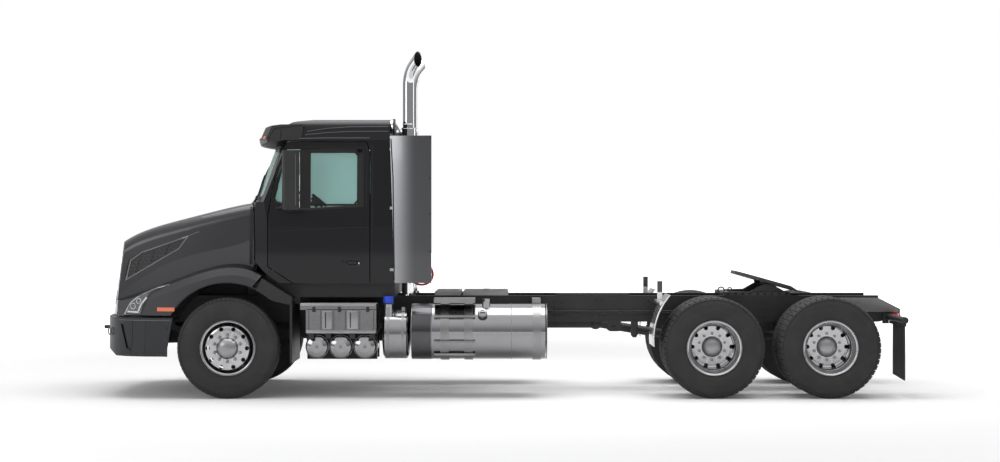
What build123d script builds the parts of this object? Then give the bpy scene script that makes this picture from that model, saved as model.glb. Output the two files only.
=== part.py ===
from build123d import *
import os
from math import cos, pi, radians, sin, sqrt, tan

# A conventional day-cab truck tractor, two drive axles with twin wheels.
# Millimetres. The front of the vehicle is at -X, its left side at -Y, the road is z = 0.

# Shared clearances
overrun = 50.0          # how far every cutter runs past the solid that it cuts
seat_gap = 0.3          # between curved faces that seat on each other
door_gap = 9.0          # between a door and its opening
body_gap = 8.0          # between hood and cab, and between fender and cab

# Running gear
tyre_radius = 545.0
tyre_width = 290.0
tyre_bead_radius = 284.0
half_width = 1240.0     # over the tyres
front_axle_x = -2950.0
bogie_x = 2905.5
axle_spread = 1249.0
twin_spacing = 330.0
rear_axle_xs = [bogie_x - axle_spread / 2, bogie_x + axle_spread / 2]
tyre_y = half_width - tyre_width / 2
axle_z = tyre_radius

# Wheel
rim_radius = 298.0
rim_half_width = 116.0
rim_wall = 12.0
rim_well_radius = 250.0
disc_wall = 14.0
disc_outset = 140.0     # from the rim's middle to the disc's mounting face
hub_radius = 118.0
hub_bore_radius = 52.0
stud_circle_radius = 143.0
stud_radius = 12.0
stud_length = 38.0
stud_count = 10
hand_hole_circle_radius = 211.0
hand_hole_radius = 23.0
disc_bend_radius = 238.0   # where the disc turns in to the rim's well
hub_cap_radius = 110.0
hub_cap_length = 66.0
hub_cap_flange = 12.0
drum_radius = 208.0
drum_length = 200.0
drum_wall = 16.0

# Frame
rail_half = 430.0
rail_top = 1082.0
rail_depth = 295.0
rail_flange = 84.0
rail_wall = 9.0
rail_front_x = -4060.0
rail_rear_x = 4454.0
rail_bottom = rail_top - rail_depth

# Cab
cab_floor_z = 1237.0
cab_roof_z = 3040.0
cab_rear_x = -1169.0
cab_rear_lean = 55.0
cab_half_width = 1070.0
cab_waist_z = 1850.0
cab_header_z = 2790.0
cab_header_half_width = 1020.0
cab_cowl_half_width = 985.0
cab_cowl_x = -2706.0     # the cowl's front edge at the cab's side
cab_wall = 45.0
cowl_bow_radius = 3500.0
cowl_bow = 125.0         # how far the cowl's middle is ahead of its ends
cowl_top_z = 2118.0
windshield_radius = 2600.0
windshield_foot_x = -2785.0
windshield_foot_z = 2180.0
windshield_head_x = -2575.0
windshield_head_z = 2742.0
glass_wall = 8.0
glass_inset = 12.0

# Doors
door_front_x = -2536.0
door_rear_x = -1437.0
door_top_z = 2767.0
door_wall = 55.0
door_swing = 70.0

# Hood
hood_nose_x = -4374.0
hood_rear_x = cab_cowl_x - body_gap
hood_bottom_z = 893.0
hood_rear_top_z = 2128.0
hood_rear_half_width = 968.0
hood_wall = 18.0
hood_crown = 26.0
hood_shoulder_radius = 150.0
nose_bow_radius = 2600.0
nose_lean = 8.0          # degrees
fender_half_width = 1220.0
fender_inner = 600.0
fender_shoulder = 80.0
fender_round = 55.0
fender_rise = 95.0
arch_radius = 700.0
arch_x = front_axle_x - body_gap
liner_inner = 560.0
hood_swing = 65.0
hinge_pin_radius = 10.0
hinge_set_back = 53.0     # from the nose to the hinge pins
hinge_rise = 67.0         # from the hood's lower edge to the pins
hood_hinge_x = hood_nose_x + hinge_set_back
hood_hinge_z = hood_bottom_z + hinge_rise
hood_hinge_y = 300.0
hinge_lug_width = 40.0

# Bumper
bumper_front_x = -4400.0
bumper_top_z = 868.0
bumper_bottom_z = 452.0
bumper_rear_x = -3539.0
bumper_wall = 30.0
bumper_half_width = 1222.0
tow_pin_radius = 20.0
tow_pin_y = 400.0
tow_pin_tip_x = -rail_rear_x
tow_pin_z = 732.0

# Tanks and boxes at the chassis sides
side_y = 1150.0          # outer face of tanks and step boxes
tank_radius = 300.0
tank_z = 706.0
tank_front_x = -988.0
tank_rear_x = 492.0
tank_wall_share = 0.12

# Fifth wheel
fifth_wheel_x = 2984.0
fifth_wheel_pivot_z = 1180.0
fifth_wheel_tilt = 15.7
kingpin_bore_radius = 25.4
fifth_wheel_forward_swing = 26.0


def box(x0, x1, y0, y1, z0, z1):
    """A block between two corners."""
    return Pos((x0 + x1) / 2, (y0 + y1) / 2, (z0 + z1) / 2) * Box(abs(x1 - x0), abs(y1 - y0), abs(z1 - z0))


def side_prism(points, y0, y1):
    """A side outline of (x, z) points drawn out from y0 to y1."""
    plane = Plane(origin=(0, y1, 0), x_dir=(1, 0, 0), z_dir=(0, -1, 0))
    return extrude(plane * make_face(Polyline(*points, close=True)), amount=y1 - y0)


def front_prism(points, x0, x1):
    """A front outline of (y, z) points drawn out from x0 to x1."""
    plane = Plane(origin=(x0, 0, 0), x_dir=(0, 1, 0), z_dir=(1, 0, 0))
    return extrude(plane * make_face(Polyline(*points, close=True)), amount=x1 - x0)


def plan_prism(points, z0, z1):
    """A plan outline of (x, y) points drawn up from z0 to z1."""
    return extrude(Pos(0, 0, z0) * make_face(Polyline(*points, close=True)), amount=z1 - z0)


def cross_cylinder(x, z, y0, y1, radius):
    """A cylinder across the vehicle."""
    return Pos(x, (y0 + y1) / 2, z) * Rot(90, 0, 0) * Cylinder(radius, abs(y1 - y0))


def long_cylinder(x0, x1, y, z, radius):
    """A cylinder along the vehicle."""
    return Pos((x0 + x1) / 2, y, z) * Rot(0, 90, 0) * Cylinder(radius, abs(x1 - x0))


def post(x, y, z0, z1, radius):
    """An upright cylinder."""
    return Pos(x, y, (z0 + z1) / 2) * Cylinder(radius, abs(z1 - z0))


def spread(shares, start, span):
    """Points at shares of a span from a start."""
    return [(start[0] + a * span[0], start[1] + b * span[1]) for a, b in shares]


def both_sides(shape):
    """A shape with its mirror image on the other side."""
    return shape + mirror(shape, Plane.XZ)


def pair(shape):
    """A shape and its mirror image as two solids."""
    return Compound(children=[shape, mirror(shape, Plane.XZ)])


def on_side(shape, side):
    """The left side's shape, mirrored for the right (side = 1)."""
    return shape if side < 0 else mirror(shape, Plane.XZ)


def domed_tank(length, radius, dome):
    """A tank of revolution along X from 0 to its length, with shallow domed ends."""
    edge = radius * (1 - tank_wall_share)
    profile = Polyline((0, 0), (0, edge * 0.6), (dome * 0.35, edge), (dome, radius),
                       (length - dome, radius), (length - dome * 0.35, edge), (length, edge * 0.6), (length, 0),
                       close=True)
    return revolve(Plane.XZ * make_face(profile), Axis.X)


# Frame

rail_tail_drop_x = 4210.0
rail_tail_top_z = 930.0
rail_tail_bottom_z = 847.0
rail_tail_shelf_z = 1055.0
cross_member_depth = 180.0
cross_member_width = 70.0
# places of the crossmembers along the rails, as shares of the rail length
cross_member_shares = [0.012, 0.36, 0.58, 0.70, 0.87, 0.975]


def frame_rails():
    outline = [(rail_front_x, rail_bottom), (rail_front_x, rail_top), (rail_tail_drop_x, rail_top),
               (rail_tail_drop_x, rail_tail_shelf_z), (rail_rear_x, rail_tail_top_z),
               (rail_rear_x, rail_tail_bottom_z), (rail_tail_drop_x, rail_bottom)]
    inner = [(rail_front_x - overrun, rail_bottom + rail_wall), (rail_front_x - overrun, rail_top - rail_wall),
             (rail_tail_drop_x - rail_wall, rail_top - rail_wall),
             (rail_tail_drop_x - rail_wall, rail_bottom + rail_wall)]
    rail = side_prism(outline, rail_half - rail_flange, rail_half)
    rail -= side_prism(inner, rail_half - rail_flange - overrun, rail_half - rail_wall)
    rails = both_sides(rail)
    length = rail_rear_x - rail_front_x
    half = rail_half - rail_wall
    for share in cross_member_shares:
        x = rail_front_x + share * length
        middle = (rail_top + rail_bottom) / 2
        web = box(x - rail_wall / 2, x + rail_wall / 2, -half, half,
                  middle - cross_member_depth / 2, middle + cross_member_depth / 2)
        for z in (middle - cross_member_depth / 2, middle + cross_member_depth / 2 - rail_wall):
            web += box(x - cross_member_width / 2, x + cross_member_width / 2, -half, half, z, z + rail_wall)
        rails += web
    return rails


# Front axle, springs and knuckles

kingpin_y = 900.0
kingpin_radius = 22.0
beam_height = 90.0
beam_width = 95.0
beam_drop = 115.0
beam_seat_half = 560.0
beam_end_share = 0.8      # how far the beam runs into its end boss, of the boss radius
boss_radius = 48.0
beam_end_y = kingpin_y - beam_end_share * boss_radius
boss_half_height = 70.0
yoke_arm = 34.0
yoke_gap = 5.5
spindle_radius = hub_bore_radius - seat_gap
knuckle_face_y = 985.0
steer_angle = 38.0
steer_arm_length = 190.0


def front_axle():
    low = axle_z - beam_drop
    top, bottom = low + beam_height / 2, low - beam_height / 2
    rise = axle_z - beam_height / 2
    outline = [(-beam_end_y, rise), (-beam_seat_half, bottom), (beam_seat_half, bottom), (beam_end_y, rise),
               (beam_end_y, rise + beam_height), (beam_seat_half, top), (-beam_seat_half, top),
               (-beam_end_y, rise + beam_height)]
    beam = front_prism(outline, front_axle_x - beam_width / 2, front_axle_x + beam_width / 2)
    for side in (-1, 1):
        beam += post(front_axle_x, side * kingpin_y, axle_z - boss_half_height, axle_z + boss_half_height, boss_radius)
        beam -= post(front_axle_x, side * kingpin_y, axle_z - 2 * boss_half_height,
                     axle_z + 2 * boss_half_height, kingpin_radius + seat_gap)
    return beam


spring_half_length = 740.0
spring_width = 76.0
spring_thickness = 62.0
spring_eye_radius = 32.0
spring_y = rail_half - rail_flange / 2
spring_eye_z = 742.0


def front_springs():
    seat_z = axle_z - beam_drop + beam_height / 2
    y0, y1 = spring_y - spring_width / 2, spring_y + spring_width / 2
    ends = [front_axle_x - spring_half_length, front_axle_x + spring_half_length]
    plane = Plane(origin=(0, y1, 0), x_dir=(1, 0, 0), z_dir=(0, -1, 0))
    low = ThreePointArc((ends[0], spring_eye_z - spring_thickness / 2), (front_axle_x, seat_z),
                        (ends[1], spring_eye_z - spring_thickness / 2))
    high = ThreePointArc((ends[1], spring_eye_z + spring_thickness / 2), (front_axle_x, seat_z + 2 * spring_thickness),
                         (ends[0], spring_eye_z + spring_thickness / 2))
    band = make_face([low, Line(low @ 1, high @ 0), high, Line(high @ 1, low @ 0)])
    spring = extrude(plane * band, amount=spring_width)
    clamp = box(front_axle_x - beam_width / 2, front_axle_x + beam_width / 2, y0 - yoke_arm / 2, y1 + yoke_arm / 2,
                seat_z, seat_z + 2 * spring_thickness + yoke_arm / 2)
    spring += clamp
    for x in ends:
        spring += cross_cylinder(x, spring_eye_z, y0, y1, spring_eye_radius)
        spring += box(x - spring_eye_radius, x + spring_eye_radius, y0, y1, spring_eye_z, rail_bottom)
    return pair(spring)


def knuckle():
    """The left knuckle, its kingpin pressed in its yoke and its spindle for the wheel."""
    y = -kingpin_y
    top = axle_z + boss_half_height + yoke_gap
    bottom = axle_z - boss_half_height - yoke_gap
    face = -knuckle_face_y
    solid = post(front_axle_x, y, bottom - yoke_arm, top + yoke_arm, kingpin_radius)
    for z0, z1 in ((top, top + yoke_arm), (bottom - yoke_arm, bottom)):
        solid += post(front_axle_x, y, z0, z1, boss_radius)
        solid += box(front_axle_x - boss_radius, front_axle_x + boss_radius, face, y, z0, z1)
    back = y - boss_radius - yoke_gap
    solid += box(front_axle_x - boss_radius, front_axle_x + boss_radius, face, back, bottom - yoke_arm, top + yoke_arm)
    solid += cross_cylinder(front_axle_x, axle_z, face, -(tyre_y + disc_outset - disc_wall), spindle_radius)
    solid += box(front_axle_x, front_axle_x + steer_arm_length, y - yoke_arm / 2, y + yoke_arm / 2,
                 bottom - yoke_arm, bottom)
    return solid


# Drive axles and their suspension

axle_tube_radius = 72.0
differential_radius = 225.0
differential_width = 170.0
axle_flange_y = 905.0


def rear_axles():
    axles = []
    for x in rear_axle_xs:
        housing = cross_cylinder(x, axle_z, -axle_flange_y + drum_length, axle_flange_y - drum_length, axle_tube_radius)
        reach = tyre_y - twin_spacing + disc_outset
        housing += cross_cylinder(x, axle_z, -reach, reach, spindle_radius)
        housing += cross_cylinder(x, axle_z, -differential_width, differential_width, differential_radius * 0.8)
        housing += cross_cylinder(x, axle_z, -differential_width * 0.6, differential_width * 0.6, differential_radius)
        housing += long_cylinder(x - differential_radius * 1.5, x, 0, axle_z + differential_radius * 0.3,
                                 axle_tube_radius)
        axles.append(housing)
    return Compound(children=axles)


hanger_length = 120.0
arm_height = 70.0
arm_width = 76.0
air_spring_radius = 115.0
air_spring_offset = 330.0


def rear_suspension():
    units = []
    y0, y1 = rail_half - rail_flange, rail_half
    for x in rear_axle_xs:
        front = x - air_spring_offset
        rear = x + air_spring_offset
        arm_z = axle_z + axle_tube_radius
        middle = (y0 + y1) / 2
        unit = box(front - hanger_length / 2, front + hanger_length / 2, y0, y1, arm_z, rail_bottom)
        unit += box(front, rear + hanger_length / 2, middle - arm_width / 2, middle + arm_width / 2,
                    arm_z, arm_z + arm_height)
        unit += post(rear, middle, arm_z + arm_height, rail_bottom, air_spring_radius * 0.8)
        units.append(unit)
    solids = []
    for unit in units:
        solids += [unit, mirror(unit, Plane.XZ)]
    return Compound(children=solids)


# Engine, gearbox and shafts

engine_front_x = -3880.0
engine_rear_x = -2850.0
engine_half = 330.0
engine_bottom_z = 690.0
engine_top_z = 1700.0
gearbox_rear_x = -1950.0
gearbox_radius = 240.0
shaft_radius = 60.0
shaft_z = 755.0
radiator_x = -3935.0
radiator_wall = 70.0
radiator_top_z = 1600.0


def engine():
    block = box(engine_front_x, engine_rear_x, -engine_half, engine_half, engine_bottom_z, engine_top_z)
    mount = rail_half - rail_wall
    middle = (engine_front_x + engine_rear_x) / 2
    length = (engine_rear_x - engine_front_x) / 8
    return block + box(middle - length, middle + length, -mount, mount,
                       rail_bottom + rail_wall, rail_bottom + rail_depth / 3)


def driveline():
    shaft = long_cylinder(engine_rear_x, gearbox_rear_x, 0, shaft_z + gearbox_radius / 4, gearbox_radius)
    first, second = rear_axle_xs
    nose = axle_z + differential_radius * 0.3
    front_end = first - differential_radius * 1.5
    shaft += long_cylinder(gearbox_rear_x, front_end * 0.55, 0, shaft_z, shaft_radius)
    joint = front_end * 0.55
    drop = Edge.make_line((joint, 0, shaft_z), (front_end, 0, nose))
    shaft += sweep(Plane(origin=drop @ 0, z_dir=drop % 0) * Circle(shaft_radius * 0.85), path=drop)
    shaft += Pos(joint, 0, shaft_z) * Sphere(shaft_radius * 1.3)
    link = long_cylinder(first, second - differential_radius * 1.5, 0, nose,
                         shaft_radius * 0.8)
    axles = rear_axles()
    return Compound(children=[shaft - axles, link - axles])


def radiator():
    """The radiator's core, which stands on the rails."""
    return box(radiator_x - radiator_wall / 2, radiator_x + radiator_wall / 2, -rail_half, rail_half,
               rail_top + seat_gap, radiator_top_z)


# Front bumper

def bumper_plan(inset, z0, z1):
    """The bumper's plan, its curves moved in by an inset."""
    nose = bumper_front_x + inset
    corner = (bumper_front_x + bumper_nose_set + inset, bumper_corner_y - inset * 0.6)
    cheek = (bumper_front_x + bumper_cheek_set + inset * 0.7, bumper_cheek_y - inset * 0.7)
    shoulder = (bumper_front_x + bumper_shoulder_set, bumper_half_width * 0.972 - inset)
    tail = (bumper_rear_x + overrun, bumper_half_width - inset)
    front = ThreePointArc((corner[0], -corner[1]), (nose, 0), corner)
    right = ThreePointArc(corner, cheek, shoulder)
    right_side = Line(shoulder, tail)
    back = Line(tail, (tail[0], -tail[1]))
    left_side = Line((tail[0], -tail[1]), (shoulder[0], -shoulder[1]))
    left = ThreePointArc((shoulder[0], -shoulder[1]), (cheek[0], -cheek[1]), (corner[0], -corner[1]))
    face = make_face([front, right, right_side, back, left_side, left])
    return extrude(Pos(0, 0, z0) * face, amount=z1 - z0)


bumper_nose_set = 105.0
bumper_corner_y = 850.0
bumper_cheek_set = 300.0
bumper_cheek_y = 1078.0
bumper_shoulder_set = 560.0
# side outline of the bumper, shares of its length and height from the lower front corner
bumper_side_shares = [(0.0, 0.70), (0.0, 1.0), (1.0, 1.0), (0.925, 0.21), (0.925, 0.0), (0.24, 0.0), (0.012, 0.34)]


# air slot in the bumper's corner, shares of its length and height
bumper_slot_shares = [(0.31, 0.84), (0.435, 0.78), (0.46, 0.155), (0.395, 0.21)]
bumper_slot_depth = 16.0


def front_bumper():
    shell = bumper_plan(0, bumper_bottom_z, bumper_top_z)
    shell -= bumper_plan(bumper_wall, bumper_bottom_z - overrun, bumper_top_z - bumper_wall)
    length = bumper_rear_x - bumper_front_x
    height = bumper_top_z - bumper_bottom_z
    outline = spread(bumper_side_shares, (bumper_front_x, bumper_bottom_z), (length, height))
    shell &= side_prism(outline, -half_width, half_width)
    slot = spread(bumper_slot_shares, (bumper_front_x, bumper_bottom_z), (length, height))
    skin = bumper_plan(-bumper_slot_depth, 0, 2 * bumper_top_z) - bumper_plan(bumper_slot_depth, 0, 2 * bumper_top_z)
    shell -= skin & both_sides(side_prism(slot, bumper_corner_y, half_width))
    inner = bumper_half_width * 0.7
    shell -= box(bumper_front_x + bumper_cheek_set * 0.75, bumper_rear_x + overrun, -inner, inner,
                 bumper_bottom_z - overrun, bumper_top_z + overrun)
    for side in (-1, 1):
        y = side * tow_pin_y
        shell += box(bumper_front_x + bumper_wall / 2, rail_front_x - seat_gap, y - tow_pin_radius * 1.5,
                     y + tow_pin_radius * 1.5, rail_bottom - tow_pin_radius * 4, rail_bottom + tow_pin_radius * 3)
        shell += long_cylinder(tow_pin_tip_x, bumper_front_x + bumper_wall, y, tow_pin_z, tow_pin_radius)
    return shell


# Hood and fenders

hood_length = hood_rear_x - hood_nose_x
hood_height = hood_rear_top_z - hood_bottom_z
hood_tuck = 38.0          # how far the side falls in below its crease
hood_lean_share = 0.968   # half width at the shoulder, of that at the crease
# columns: along the hood, height of its top, half width, height of the crease along its side
hood_section_shares = [
    (-0.03, 0.455, 0.775, 0.06),
    (0.115, 0.655, 0.835, 0.19),
    (0.42, 0.822, 0.905, 0.44),
    (0.78, 0.944, 0.965, 0.58),
    (1.03, 1.006, 1.004, 0.69),
]
fender_top_z = 1410.0
fender_height = fender_top_z - hood_bottom_z
# columns: along the hood, height of the fender's crease, half width
fender_section_shares = [
    (0.035, 0.25, 0.655),
    (0.16, 0.31, 0.81),
    (0.35, 0.49, 0.945),
    (0.60, 0.79, 0.995),
    (0.86, 0.995, 1.0),
    (1.075, 0.81, 0.985),
]


def hood_core(inset):
    sections = []
    bottom = hood_bottom_z - (overrun if inset else 0)
    for along, up, out, fold in hood_section_shares:
        x = hood_nose_x + along * hood_length
        top = hood_bottom_z + up * hood_height - inset
        half = out * hood_rear_half_width - inset
        foot = half - hood_tuck
        crease = hood_bottom_z + fold * hood_height
        shoulder = (half * hood_lean_share, top - hood_crown)
        sides = Polyline((-shoulder[0], shoulder[1]), (-half, crease), (-foot, bottom), (foot, bottom),
                         (half, crease), shoulder)
        face = make_face(sides.edges() + [ThreePointArc(shoulder, (0, top), (-shoulder[0], shoulder[1]))])
        corners = face.vertices().sort_by(Axis.Y)[-2:]
        face = fillet(corners, hood_shoulder_radius - inset)
        plane = Plane(origin=(x, 0, 0), x_dir=(0, 1, 0), z_dir=(1, 0, 0))
        sections.append(plane * face)
    return loft(sections)


def fender_body(inset):
    """The right fender, a loft of five-sided sections."""
    sections = []
    bottom = hood_bottom_z - (overrun if inset else 0)
    for along, up, out in fender_section_shares:
        x = hood_nose_x + along * hood_length
        crease = hood_bottom_z + up * fender_height - inset
        outer = out * fender_half_width - inset
        points = [(fender_inner, bottom), (outer, bottom), (outer, crease - fender_shoulder),
                  (outer - fender_round, crease), (fender_inner, crease + fender_rise)]
        plane = Plane(origin=(x, 0, 0), x_dir=(0, 1, 0), z_dir=(1, 0, 0))
        sections.append(plane * make_face(Polyline(*points, close=True)))
    return loft(sections)


def nose_limit(inset):
    """A leaning cylinder whose front is the bowed nose."""
    reach = 2 * hood_height
    lean = radians(nose_lean)
    axis_x = hood_nose_x + (nose_bow_radius) / cos(lean)
    radius = nose_bow_radius - inset
    return Pos(axis_x, 0, hood_bottom_z) * Rot(0, nose_lean, 0) * Cylinder(radius, 2 * reach)


def cowl_cylinder(inset):
    """An upright cylinder whose front is the bowed joint of hood and cab."""
    radius = cowl_bow_radius - inset
    front = cab_cowl_x - cowl_bow
    return post(front + cowl_bow_radius, 0, 0, 2 * cab_roof_z, radius)


def hood_volume(inset):
    right = fender_body(inset)
    volume = hood_core(inset) + right + mirror(right, Plane.XZ)
    return volume & nose_limit(inset)


# rear seam of the fender from its top, shares of the hood length and fender height
fender_seam_shares = [(1.066, 0.80), (1.01, 0.575), (0.93, 0.20), (1.4, 0.0), (1.4, 1.4), (1.066, 1.4)]
# head lamp's side outline, shares of the hood length and fender height
lamp_shares = [(0.154, -0.2), (0.27, -0.2), (0.292, 0.19), (0.334, 0.462), (0.462, 0.646), (0.360, 0.571),
               (0.266, 0.433), (0.198, 0.271), (0.154, 0.0)]
lamp_inner = 780.0
lamp_depth = 70.0
# side vent's outline, shares of the hood length and hood height
vent_shares = [(0.135, 0.304), (0.165, 0.478), (0.242, 0.547), (0.552, 0.691), (0.492, 0.581)]
vent_inner = 640.0
vent_depth = 24.0
marker_front_share = 0.397
marker_rear_share = 0.512
marker_z0_share = 0.089
marker_z1_share = 0.168
marker_depth = 22.0
# grille's front outline, shares of its half width and height
grille_half_width = 640.0
grille_bottom_z = 985.0
grille_top_z = 1500.0
grille_depth = 40.0
grille_rows = 7
grille_bar = 14.0
grille_shares = [(-0.93, 0.0), (0.93, 0.0), (1.0, 0.35), (0.96, 1.0), (-0.96, 1.0), (-1.0, 0.35)]


def hood_side_points(shares):
    return spread(shares, (hood_nose_x, hood_bottom_z), (hood_length, hood_height))


def fender_side_points(shares):
    return spread(shares, (hood_nose_x, hood_bottom_z), (hood_length, fender_height))


def both_prisms(points, inner):
    """A side outline cut in from both sides of the vehicle down to an inner width."""
    return both_sides(side_prism(points, inner, half_width + overrun))


def grille_prism():
    points = spread(grille_shares, (0, grille_bottom_z), (grille_half_width, grille_top_z - grille_bottom_z))
    return front_prism(points, hood_nose_x - overrun, hood_nose_x + 4 * overrun)


def marker_prism():
    x0 = hood_nose_x + marker_front_share * hood_length
    x1 = hood_nose_x + marker_rear_share * hood_length
    z0 = hood_bottom_z + marker_z0_share * fender_height
    z1 = hood_bottom_z + marker_z1_share * fender_height
    return both_prisms([(x0, z0), (x1, z0), (x1, z1), (x0, z1)], lamp_inner)


def hood_pieces():
    """The hood's shell, and what is set in its openings."""
    solid = hood_volume(0)
    shell = solid - hood_volume(hood_wall)
    arch = both_sides(cross_cylinder(arch_x, axle_z, liner_inner - hood_wall, half_width + overrun, arch_radius))
    liner = cross_cylinder(arch_x, axle_z, liner_inner, half_width + overrun, arch_radius + hood_wall)
    liner = both_sides(liner) & solid
    shell = shell + liner - arch
    cab_zone = cab_half_width + body_gap
    cowl = cowl_cylinder(-body_gap) & box(hood_rear_x - hood_length, hood_rear_x + hood_length, -cab_zone, cab_zone,
                                          0, 2 * cab_roof_z)
    shell -= cowl
    shell -= both_prisms(fender_side_points(fender_seam_shares), liner_inner - overrun)
    shell -= box(arch_x - arch_radius, hood_rear_x + hood_length, -half_width, half_width, 0,
                 hood_bottom_z + seat_gap)
    lamps = both_prisms(fender_side_points(lamp_shares), lamp_inner)
    vents = both_prisms(hood_side_points(vent_shares), vent_inner)
    grille = grille_prism()
    markers = marker_prism()
    lamp_solid = (solid - hood_volume(lamp_depth)) & lamps
    vent_solid = (hood_volume(hood_wall / 3) - hood_volume(vent_depth)) & vents
    marker_solid = (solid - hood_volume(marker_depth)) & markers
    grille_solid = (hood_volume(hood_wall / 3) - hood_volume(grille_depth)) & grille
    pitch = (grille_top_z - grille_bottom_z - grille_bar) / grille_rows
    span = grille_half_width * 0.9
    for row in range(grille_rows):
        z = grille_bottom_z + grille_bar + row * pitch
        for side in (-1, 1):
            y0, y1 = sorted((side * grille_bar / 2, side * span))
            grille_solid -= box(hood_nose_x - overrun, hood_nose_x + 4 * overrun, y0, y1, z, z + pitch - grille_bar)
    shell = shell - lamps - vents - grille - markers
    for side in (-1, 1):
        y = side * hood_hinge_y
        lug = box(hood_nose_x + hood_wall / 2, hood_hinge_x + 2 * hinge_pin_radius, y - hinge_lug_width / 2,
                  y + hinge_lug_width / 2, hood_hinge_z - 1.8 * hinge_pin_radius, grille_bottom_z - seat_gap)
        shell += lug & nose_limit(hood_wall / 2)
        shell -= cross_cylinder(hood_hinge_x, hood_hinge_z, y - hinge_lug_width, y + hinge_lug_width,
                                hinge_pin_radius + seat_gap)
        n0, n1 = sorted((y - side * hinge_lug_width / 2, y - side * (hinge_lug_width + 2 * body_gap)))
        shell -= box(hood_nose_x - overrun, hood_hinge_x + hinge_set_back, n0, n1, hood_bottom_z - overrun,
                     grille_bottom_z)
    return shell, grille_solid, vent_solid, lamp_solid, marker_solid


def hood_hinge():
    """Arms on a cross plate at the frame's front, which carry the hood's two hinge pins."""
    arms = []
    for side in (-1, 1):
        y = side * hood_hinge_y
        inner = y - side * (hinge_lug_width / 2 + body_gap)
        outer = y + side * hinge_lug_width / 2
        y0, y1 = sorted((inner, inner - side * hinge_lug_width / 2))
        arm = box(hood_hinge_x - hinge_pin_radius, rail_front_x, y0, y1, rail_top - rail_flange * 2,
                  hood_hinge_z + hinge_pin_radius)
        p0, p1 = sorted((inner, outer))
        arm += cross_cylinder(hood_hinge_x, hood_hinge_z, p0, p1, hinge_pin_radius)
        arms.append(arm)
    foot = box(rail_front_x, rail_front_x + rail_flange, -rail_half + rail_wall, rail_half - rail_wall,
               rail_top - rail_flange * 2, rail_top - rail_flange)
    return foot + arms[0] + arms[1]


# Cab

# corner cut under the cowl, shares of the cab's length and waist height from the lower front
cab_length = cab_rear_x - cab_cowl_x
cab_cowl_cut_shares = [(-0.2, -0.1), (0.19, -0.1), (0.19, 0.0), (0.085, 0.19), (0.0, 0.425), (-0.2, 0.425)]
roof_crown = 28.0         # from the roof's middle to its corners
roof_lean = 45.0          # how far the roof's side leans in from the header
roof_round = 120.0
roof_front_x = -1830.0    # where the roof starts to fall to the windshield
roof_front_drop = 70.0


def cab_volume(inset):
    """The cab's outer form, every face moved in by an inset."""
    floor = cab_floor_z + inset
    waist, header, roof = cab_waist_z, cab_header_z, cab_roof_z - inset
    half = cab_half_width - inset
    head = cab_header_half_width - inset
    corner = (head - roof_lean, roof - roof_crown)
    walls = Polyline((-corner[0], corner[1]), (-head, header), (-half, waist), (-half, floor), (half, floor),
                     (half, waist), (head, header), corner)
    section = make_face(walls.edges() + [ThreePointArc(corner, (0, roof), (-corner[0], corner[1]))])
    section = fillet(section.vertices().sort_by(Axis.Y)[-2:], roof_round - inset)
    front = Plane(origin=(cab_cowl_x - 4 * cowl_bow, 0, 0), x_dir=(0, 1, 0), z_dir=(1, 0, 0))
    body = extrude(front * section, amount=cab_rear_x + overrun - cab_cowl_x + 4 * cowl_bow)
    rear_floor, rear_roof = cab_rear_x - inset, cab_rear_x - cab_rear_lean - inset
    lean_start = cab_cowl_x - 4 * cowl_bow
    brow_x = windshield_head_x - overrun
    side = [(lean_start, floor), (rear_floor, floor), (rear_roof, roof), (roof_front_x, roof),
            ((roof_front_x + brow_x) / 2, roof - roof_front_drop * 0.6),
            (brow_x, roof - roof_front_drop - overrun), (lean_start, windshield_head_z)]
    body &= side_prism(side, -half_width, half_width)
    plan = [(cab_cowl_x - 4 * cowl_bow, cab_cowl_half_width - cowl_bow - inset),
            (door_front_x, cab_half_width - inset), (cab_rear_x + overrun, cab_half_width - inset)]
    plan += [(x, -y) for x, y in reversed(plan)]
    body &= plan_prism(plan, 0, 2 * cab_roof_z)
    body &= cowl_cylinder(inset)
    axis_x = windshield_foot_x + windshield_radius
    slope = (windshield_head_x - windshield_foot_x) / (windshield_head_z - windshield_foot_z)
    foot_x = windshield_foot_x + inset + (cowl_top_z - windshield_foot_z) * slope
    top_x = windshield_foot_x + inset + (1.1 * cab_header_z - windshield_foot_z) * slope
    glass_turn = [(axis_x, 0), (cab_cowl_x - 4 * cowl_bow, 0), (cab_cowl_x - 4 * cowl_bow, cowl_top_z - inset),
                  (foot_x, cowl_top_z - inset), (top_x, 1.1 * cab_header_z), (axis_x, 1.1 * cab_header_z)]
    turn = revolve(Plane.XZ * make_face(Polyline(*glass_turn, close=True)), Axis((axis_x, 0, 0), (0, 0, 1)))
    body &= turn
    cut = spread(cab_cowl_cut_shares, (cab_cowl_x + inset, cab_floor_z + inset), (cab_length, cab_waist_z - cab_floor_z))
    return body - side_prism(cut, -half_width, half_width)


# door's outline from its lower front, shares of its length and height
door_shares = [(0.254, 0.0), (1.0, 0.0), (1.0, 0.93), (0.965, 1.0), (0.15, 1.0), (0.112, 0.93), (0.0, 0.475),
               (0.0, 0.12)]
# window's outline, shares of the door's length and height
window_shares = [(0.20, 0.515), (0.945, 0.548), (0.945, 0.96), (0.17, 0.96), (0.055, 0.60), (0.075, 0.575),
                 (0.135, 0.56)]
handle_shares = (0.845, 0.115)
handle_z_share = 0.145
handle_height_share = 0.038
handle_depth = 24.0


def door_outline(shares, grow):
    length = door_rear_x - door_front_x
    height = door_top_z - cab_floor_z
    points = spread(shares, (door_front_x, cab_floor_z), (length, height))
    if not grow:
        return make_face(Polyline(*points, close=True))
    return offset(make_face(Polyline(*points, close=True)), amount=grow, kind=Kind.INTERSECTION)


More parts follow.
